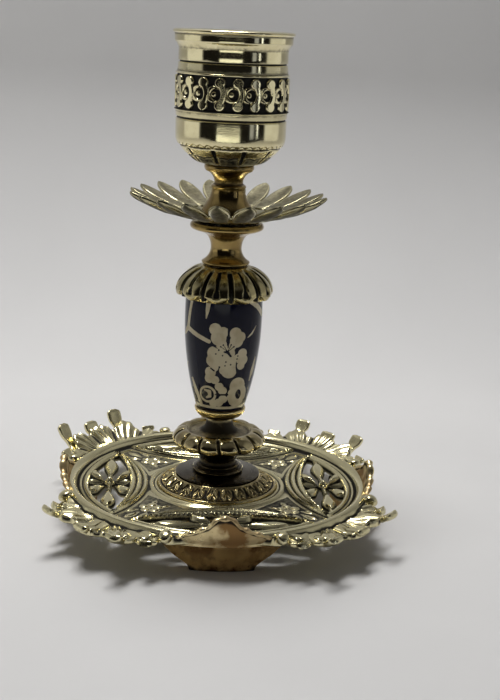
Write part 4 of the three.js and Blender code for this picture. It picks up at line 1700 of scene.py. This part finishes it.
    def snapped(self, x: Array, y: Array, border: Array) -> tuple[Array, Array]:
        """Moves the border points on to the true edge of the metal.

        Args:
            x: the points' first coordinate.
            y: their second coordinate.
            border: which of them lie on a border.

        Returns:
            Both coordinates after the move.
        """
        x, y = x.copy(), y.copy()
        bx, by = x[border], y[border]
        reach, nudge = 0.32, 0.02
        for _ in range(4):
            here = self.fields(bx, by)["metal"]
            slope_x = (self.fields(bx + nudge, by)["metal"] - here) / nudge
            slope_y = (self.fields(bx, by + nudge)["metal"] - here) / nudge
            scale = np.clip(here / np.maximum(slope_x ** 2 + slope_y ** 2, 0.3), -reach / 3, reach / 3)
            bx, by = bx - slope_x * scale, by - slope_y * scale
        x[border], y[border] = bx, by
        return x, y

    @staticmethod
    def stitch(skin: Skin, kept: Array, used: Array, place: Array, top: Array, bottom: Array,
               depth: Array) -> None:
        """Joins the two sheets into one closed body.

        Args:
            skin: what the body is added to.
            kept: cells that are metal.
            used: points that the cells use.
            place: the points' x and y.
            top: their upper heights.
            bottom: their lower heights.
            depth: how hollow the upper face is.
        """
        count = int(used.sum())
        index = np.full(used.shape, -1)
        index[used] = np.arange(count)
        a, b = index[:-1], np.roll(index, -1, 1)[:-1]
        c, d = np.roll(index, -1, 1)[1:], index[1:]
        upper = np.stack([a, d, c, b], -1)[kept]
        lower = upper[:, ::-1] + count
        edges = np.concatenate([upper[:, [k, (k + 1) % 4]] for k in range(4)])
        keys = edges[:, 0] * (count + 1) + edges[:, 1]
        backwards = edges[:, 1] * (count + 1) + edges[:, 0]
        open_edges = edges[~np.isin(keys, backwards)]
        first, second = open_edges[:, 0], open_edges[:, 1]
        walls = np.stack([second, first, first + count, second + count], 1)
        flat = place[used]
        points = np.vstack([np.column_stack([flat, top[used]]), np.column_stack([flat, bottom[used]])])
        sunk = np.r_[depth[used], np.full(count, 0.06)]
        skin.add(points, sunk, np.vstack([upper, lower, walls]), np.zeros((0, 3), int))

    def hub(self) -> Outline:
        """The flat middle of the tray, under the leaf ring.

        Returns:
            Its closed outline.
        """
        rim = self.inner_radius + 0.6
        outline = Outline(BORE, self.underside).line(rim, self.underside)
        return outline.line(rim, self.floor).line(BORE, self.floor)

    def lip(self) -> tuple[Array, Array]:
        """A lip over the ridge on +X: a scalloped gable with a rope along its rim.

        Returns:
            The grid of points and how hollow each one lies.
        """
        outline = ((0, 18.0), (1.8, 17.75), (3.0, 16.9), (3.9, 15.5), (4.6, 15.05), (6.6, 14.3), (7.4, 13.55),
                   (9.6, 12.9), (11, 12.0), (12.4, 11.3), (13.2, 10.9))
        across = np.linspace(-13.2, 13.2, 133)
        sides, heights = zip(*outline)
        crest = np.interp(np.abs(across), sides, heights)
        crest = blurred(crest, 2, 0, False)
        low, count = 8.7, 12
        rope = 0.72 + 0.2 * np.cos(np.abs(across) * TURN / 3.1)
        rows = []
        for q, top, size in zip(across, crest, rope):
            heights = np.linspace(low, top - 0.4, count)
            outer = [(0.0, z) for z in heights]
            inner = [(-1.7, z) for z in heights[::-1]]
            bead = [(-0.7 + (size + 0.2) * math.cos(a), top - 0.45 + size * math.sin(a))
                    for a in np.linspace(-0.6, math.pi + 0.6, 11)]
            section = np.array(outer + bead + inner)
            rise = (section[:, 1] - 9.3) / 9.2
            face = 43.5 + 0.9 * np.sin(np.clip(rise, 0, 1) * math.pi) + 2.0 * rise
            radius = face + section[:, 0]
            angle = q / face
            rows.append(np.column_stack([radius * np.cos(angle), radius * np.sin(angle), section[:, 1]]))
        points = np.array(rows)
        groove = np.zeros(points.shape[:2])
        groove[:, count - 2:count] = 0.2
        groove[:, -count:-count + 2] = 0.22
        groove[:, count:-count] = -0.12
        return points, groove

    def curl(self, reach: float, lift: float, width: float, degrees: float) -> tuple[Array, Array]:
        """One curled tip of a palmette.

        Args:
            reach: the radius of its end.
            lift: the height of its end.
            width: half its width.
            degrees: from the palmette's middle.

        Returns:
            The points of a strap that sweeps up at its end, and how hollow each one lies.
        """
        share = np.linspace(0, 1, 36)
        start, level = 45.5, 10.4
        radius = start + (reach - start) * share ** 0.92
        height = level + (lift - level) * share ** 2.6 - 0.3 * np.sin(share * math.pi)
        path = np.stack([radius, np.zeros_like(radius), height], 1)
        flare = width * (1.15 - 0.6 * smooth(share, 0.35, 0.62) + 0.42 * smooth(share, 0.68, 0.85))
        ends = np.sqrt(np.clip(1 - ((share - 0.93) / 0.07).clip(0, 1) ** 2, 0.02, 1))
        thick = 0.82 * np.sqrt(ends) * (1 + 0.18 * smooth(share, 0.7, 1))
        groove = -0.35 * smooth(share, 0.1, 0.5)
        points, depth = strap(path, SIDEWAYS, flare * ends ** 0.5, thick, groove, 32)
        return spun(points, degrees), depth

    def bud(self, degrees: float) -> tuple[Array, Array]:
        """The small rounded finger that ends a palmette at its side.

        Args:
            degrees: from the palmette's middle.

        Returns:
            The grid of points and how hollow each one lies.
        """
        share = np.linspace(0.02, 0.98, 16)
        half = np.sin(share * math.pi) ** 0.5
        path = np.stack([43.6 + 4.2 * share, np.zeros(16), 11.9 - 1.3 * share ** 2], 1)
        points, depth = strap(path, SIDEWAYS, 1.75 * half, 1.55 * half, np.zeros(16), 24)
        return spun(points, degrees), depth

    def tips(self, skin: Skin, side: int) -> None:
        """Adds the curled tips and the side fingers of one palmette.

        Args:
            skin: what they are added to.
            side: which palmette, counted from the back right one to the left.
        """
        corner = 90 * side + 45
        aside = self.spread[side]
        for tip, degrees in ((SIDE_TIP, -aside), (MIDDLE_TIP, 0.0), (SIDE_TIP, aside),
                             (LOW_TIP, -self.low_spread), (LOW_TIP, self.low_spread)):
            lift = tip.lift + tip.rises * self.raised[side]
            points, depth = self.curl(tip.reach, lift, tip.width, degrees + tip.turns * self.turned[side])
            skin.grid(spun(points, corner), depth, False)
        for degrees in (-self.bud_spread, self.bud_spread):
            points, depth = self.bud(degrees)
            skin.grid(spun(points, corner), depth, False)

    def build(self) -> None:
        """Builds and dresses the tray."""
        skin, lips = Skin(), Skin()
        skin.grid(*turn(self.hub(), 96, step=2.0), True)
        self.plate(skin)
        for side in range(4):
            points, depth = self.lip()
            lips.grid(spun(points, 90 * side), depth, False)
            self.tips(skin, side)
        dress(skin.build("pierced_tray", 0.27, 40), self.finish.material(), "polished_brass", "base_tray")
        dress(lips.build("tray_lips", 0.27, 40), self.lip_finish.material(), "polished_brass")


@dataclass
class TrayFeet:
    """Four bracket feet under the lips, with ogee ends."""

    finish: Brass
    names: tuple[str, ...] = ("foot_front", "foot_right", "foot_back", "foot_left")
    half_top: float = 16.5
    half_bottom: float = 8.9
    thick: float = 3.0
    columns: int = 61

    def foot(self, top: float) -> tuple[Array, Array]:
        """One foot under the lip on -Y, as level sections from the ground up.

        Args:
            top: its height.

        Returns:
            The grid of points and how hollow each one lies: painted shade at the top under the tray, at the
            bottom by the ground and towards both ends, and a painted highlight across the middle.
        """
        levels_up = np.linspace(0, 1, 25)
        rise = np.clip(levels_up / 0.9, 0, 1)
        flare = 0.6 * rise ** 1.9 + 0.4 * smooth(rise, 0.1, 0.7)
        ogee = self.half_bottom + (self.half_top - self.half_bottom) * flare
        rows = []
        for share, half in zip(levels_up, ogee):
            z = share * top
            edge = min(0.5, 3.0 * min(z + 0.02, top - z + 0.02))
            corner = 0.5 - math.sqrt(max(0.25 - (0.5 - edge) ** 2, 0))
            face = 39.4 + (41.6 - 39.4) * share - 0.5 * math.sin(share * math.pi) - corner
            back = face - self.thick + 2 * corner
            across = np.linspace(-1, 1, self.columns) * (half - corner)
            front_row = [(face * math.sin(q / face), -face * math.cos(q / face), z) for q in across]
            back_row = [(back * math.sin(q / face), -back * math.cos(q / face), z) for q in across[::-1]]
            rows.append(front_row + back_row)
        points = np.array(rows)
        sides = np.abs(np.r_[np.linspace(-1, 1, self.columns), np.linspace(1, -1, self.columns)])
        # painted shade: darker at the top under the tray, at the bottom by the ground and towards both ends
        depth = 0.2 * smooth(levels_up, 0.88, 1.0)[:, None] + 0.11 * smooth(levels_up, 0.2, 0.0)[:, None]
        depth = depth + 0.16 * smooth(sides, 0.7, 1.0)[None, :]
        # painted highlight across the middle of the foot
        depth = depth - 0.14 * np.sin(levels_up * math.pi)[:, None] ** 3
        return points, depth

    def build(self) -> None:
        """Builds and dresses the four feet."""
        material = self.finish.material()
        for side, name in enumerate(self.names):
            top = levels(name)[1]
            points, depth = self.foot(top)
            skin = Skin()
            skin.grid(spun(points, 90 * side), depth, False)
            dress(skin.build("bracket_" + name, 0.3), material, "foot_brass", name)


@dataclass
class Fasteners:
    """The tie rod, its nut and washer, and the two cork seats, which keep their frame shapes."""

    steel: PlainFinish
    cork: PlainFinish

    def build(self) -> None:
        """Dresses the frame's own pieces."""
        steel, cork = self.steel.material(), self.cork.material()
        for names, material in ((("tie_rod", "base_washer", "base_nut"), steel),
                                (("upper_seat_washer", "lower_seat_washer"), cork)):
            for name in names:
                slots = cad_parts[name].data.materials
                slots.clear()
                slots.append(material)
                log.info("%s: dressed", name)


# ---- Studio ------------------------------------------------------------------------------------

@dataclass
class Studio:
    """The pale floor that sweeps up behind the candlestick, the lamps, the room and the camera.

    The backdrop hides nothing from a camera behind it. The camera sees a plain pale room where the
    backdrop ends, and the brass mirrors a room that is dark in front.
    """

    floor_colour: Colour = (0.62, 0.612, 0.605, 1)
    backdrop: Colour = (0.56, 0.555, 0.55, 1)
    sweep_start: float = 0.12
    sweep_radius: float = 0.12
    half_width: float = 0.6
    camera_place: tuple[float, float, float] = (-0.0197, -0.3519, 0.1433)
    camera_pitch: float = 75.37
    camera_yaw: float = -4.5
    camera_roll: float = 2.55
    lens: float = 65.32

    def sweep(self) -> None:
        """The floor and the wall behind it, one smooth sheet."""
        steps = np.linspace(0, math.pi / 2, 25)
        line = [(-0.33, 0.0)]
        line += [(self.sweep_start + self.sweep_radius * math.sin(a), self.sweep_radius * (1 - math.cos(a)))
                 for a in steps]
        line.append((self.sweep_start + self.sweep_radius, 1.2))
        points = [(x, y, z) for y, z in line for x in (-self.half_width, self.half_width)]
        faces = [(2 * k, 2 * k + 1, 2 * k + 3, 2 * k + 2) for k in range(len(line) - 1)]
        mesh = bpy.data.meshes.new("pale_floor")
        mesh.from_pydata(points, [], faces)
        mesh.shade_smooth()
        material, tree, shader = new_material("pale_paper")
        grain = noise(tree, 12.0, 4.0)
        darker = tuple(0.9 * c for c in self.floor_colour[:3]) + (1.0,)
        tree.links.new(mixed(tree, grain, self.floor_colour, darker), shader.inputs["Base Color"])
        shader.inputs["Roughness"].default_value = 0.95
        shader.inputs["Specular IOR Level"].default_value = 0.1
        behind = maths(tree, "MULTIPLY", node(tree, "NewGeometry").outputs["Backfacing"],
                       node(tree, "LightPath").outputs["Is Camera Ray"])
        one_sided = node(tree, "MixShader", in0=behind, in1=shader.outputs[0],
                         in2=node(tree, "BsdfTransparent").outputs[0])
        tree.links.new(one_sided.outputs[0], tree.nodes["Material Output"].inputs["Surface"])
        mesh.materials.append(material)
        floor = bpy.data.objects.new("pale_floor", mesh)
        bpy.context.scene.collection.objects.link(floor)

    def lamp(self, name: str, place: Sequence[float], target: Sequence[float], size: tuple[float, float],
             power: float, colour: tuple[float, float, float] = (1.0, 1.0, 1.0)) -> None:
        """A soft rectangular light.

        Args:
            name: its name.
            place: where it stands, in metres.
            target: the point it faces.
            size: its width and height, in metres.
            power: in watts.
            colour: its tint.
        """
        light = bpy.data.lights.new(name, "AREA")
        light.shape = "RECTANGLE"
        light.size, light.size_y = size
        light.energy = power
        light.color = colour
        lamp = bpy.data.objects.new(name, light)
        lamp.location = place
        away = Vector(place) - Vector(target)
        lamp.rotation_euler = away.to_track_quat("Z", "Y").to_euler()
        lamp.visible_camera = False
        bpy.context.scene.collection.objects.link(lamp)

    def room(self) -> None:
        """The surroundings that the brass mirrors: pale all round and above, dark in front."""
        world = bpy.data.worlds.new("room")
        world.use_nodes = True
        bpy.context.scene.world = world
        tree = world.node_tree
        direction = node(tree, "TexCoord").outputs["Generated"]
        parts = node(tree, "SeparateXYZ", Vector=direction).outputs
        front = maths(tree, "MULTIPLY", parts[1], -1.0)
        ahead = stretched(tree, front, 0.28, 0.4)
        low = stretched(tree, parts[2], 0.95, 0.6)
        dark = maths(tree, "MULTIPLY", ahead, low)
        overhead = stretched(tree, parts[2], 0.5, 0.85)
        pale = mixed(tree, overhead, (0.36, 0.36, 0.355, 1), (0.12, 0.118, 0.115, 1))
        colour = mixed(tree, dark, pale, (0.008, 0.0075, 0.007, 1))
        seen = mixed(tree, node(tree, "LightPath").outputs["Is Camera Ray"], colour, self.backdrop)
        tree.links.new(seen, tree.nodes["Background"].inputs["Color"])
        tree.nodes["Background"].inputs["Strength"].default_value = 1.0

    def camera(self) -> None:
        """The camera, a little above the cup's rim and turned a little to the stem's right."""
        data = bpy.data.cameras.new("camera")
        data.lens = self.lens
        data.sensor_width = 36
        data.clip_start = 0.01
        camera = bpy.data.objects.new("camera", data)
        turn_z = Euler((0, 0, math.radians(self.camera_yaw))).to_matrix()
        tilt = Euler((math.radians(self.camera_pitch), 0, 0)).to_matrix()
        roll = Euler((0, 0, math.radians(self.camera_roll))).to_matrix()
        camera.matrix_world = (turn_z @ tilt @ roll).to_4x4()
        camera.location = self.camera_place
        bpy.context.scene.collection.objects.link(camera)
        bpy.context.scene.camera = camera

    def build(self) -> None:
        """Sets up the whole studio."""
        self.camera()
        self.sweep()
        self.room()
        self.lamp("top_light", (-0.05, 0.13, 0.7), (0, 0.09, 0.05), (0.5, 0.16), 6.0)
        self.lamp("window", (-0.2, -1.4, -0.168), (0, 0, 0.1), (1.25, 0.3), 1.3, (0.98, 1.0, 0.94))
        self.lamp("left_card", (-0.5, 0.03, 0.085), (0, 0.03, 0.085), (0.42, 0.13), 0.056)
        self.lamp("right_card", (0.5, 0.03, 0.085), (0, 0.03, 0.085), (0.42, 0.13), 0.043)
        self.lamp("side_window", (0.9, -1.05, 0.3), (0, 0, 0.12), (0.2, 0.8), 0.22, (0.8, 0.85, 1.0))
        self.lamp("side_glint", (1.1, -0.84, 0.3), (0, 0, 0.12), (0.05, 0.7), 0.3, (0.85, 0.9, 1.0))
        bpy.context.scene.view_settings.view_transform = "Standard"


# ---- Finishes of the pieces --------------------------------------------------------------------

PALE = (0.86, 0.78, 0.49, 1)
POLISHED = Brass("polished_brass", PALE, (0.34, 0.27, 0.12, 1), (0.012, 0.011, 0.009, 1))
# Petal brass: a darker copy of the cup's brass, painted shade for petals that look down and mirror the
# shadowed floor; its tarnish clouds are the metal's own.
SHADED_PETAL = Brass("petal_brass_and_shade", (0.46, 0.42, 0.26, 1), (0.2, 0.175, 0.095, 1), (0.06, 0.052, 0.03, 1),
              gloss=0.15, tarnish=0.8)
# Cap brass: a darker copy of the cup's brass, painted shade for the cap's lower faces that mirror the
# shadowed floor; its tarnish clouds are the metal's own.
SHADED_CAP = Brass("cap_brass_and_shade", (0.47, 0.41, 0.22, 1), (0.2, 0.155, 0.07, 1), (0.01, 0.009, 0.007, 1),
            gloss=0.08, tarnish=0.6)
WARM = Brass("warm_brass", (0.38, 0.275, 0.105, 1), (0.13, 0.078, 0.026, 1), (0.014, 0.009, 0.006, 1),
             gloss=0.1, tarnish=0.6)
KNOP = Brass("knop_brass", (0.47, 0.4, 0.22, 1), (0.13, 0.09, 0.04, 1), (0.036, 0.028, 0.015, 1),
             gloss=0.09, tarnish=0.75)
DARK = Brass("browned_brass", (0.08, 0.064, 0.038, 1), (0.038, 0.031, 0.022, 1), (0.012, 0.009, 0.007, 1),
             gloss=0.17, tarnish=0.7)
GOLD = Brass("gold_brass", (0.68, 0.55, 0.26, 1), (0.4, 0.26, 0.09, 1), (0.02, 0.014, 0.008, 1),
             gloss=0.1)
CAST = Brass("cast_brass", (0.72, 0.66, 0.41, 1), (0.4, 0.34, 0.17, 1), (0.022, 0.02, 0.015, 1),
             gloss=0.17, dullness=0.25, tarnish=0.5, start=0.26, contrast=1.9)
LIP = Brass("stained_brass", (0.9, 0.76, 0.43, 1), (0.28, 0.165, 0.066, 1), (0.03, 0.024, 0.017, 1),
            gloss=0.22, tarnish=1.4)
AGED = Brass("aged_brass", (0.52, 0.43, 0.22, 1), (0.2, 0.145, 0.065, 1), (0.015, 0.012, 0.009, 1),
             gloss=0.12, tarnish=0.7, start=0.12)
FOOT = Brass("foot_brass", (0.74, 0.5, 0.2, 1), (0.17, 0.085, 0.027, 1), (0.03, 0.017, 0.008, 1),
             gloss=0.36, tarnish=1.7)
STEEL = PlainFinish("plain_steel", (0.5, 0.5, 0.51, 1), (0.35, 0.34, 0.33, 1), 0.35, 1.0, 900.0)
CORK = PlainFinish("cork", (0.36, 0.22, 0.11, 1), (0.16, 0.085, 0.04, 1), 0.8, 0.0, 1400.0)


def main() -> None:
    """Builds the studio and every sub-assembly in order."""
    logging.basicConfig(level=logging.INFO, format="%(name)s %(message)s")
    Studio().build()
    for part in (CandleSocket(POLISHED), SocketStem(WARM), DripPan(SHADED_PETAL), PanSpool(WARM),
                 BarrelCap(SHADED_CAP), CeramicBarrel(PaintedGlaze()), BarrelFerrule(GOLD), Knop(KNOP),
                 Pedestal(DARK), StemFoot(AGED), Tray(CAST, LIP), TrayFeet(FOOT),
                 Fasteners(STEEL, CORK)):
        part.build()


if __name__ == "__main__":
    main()
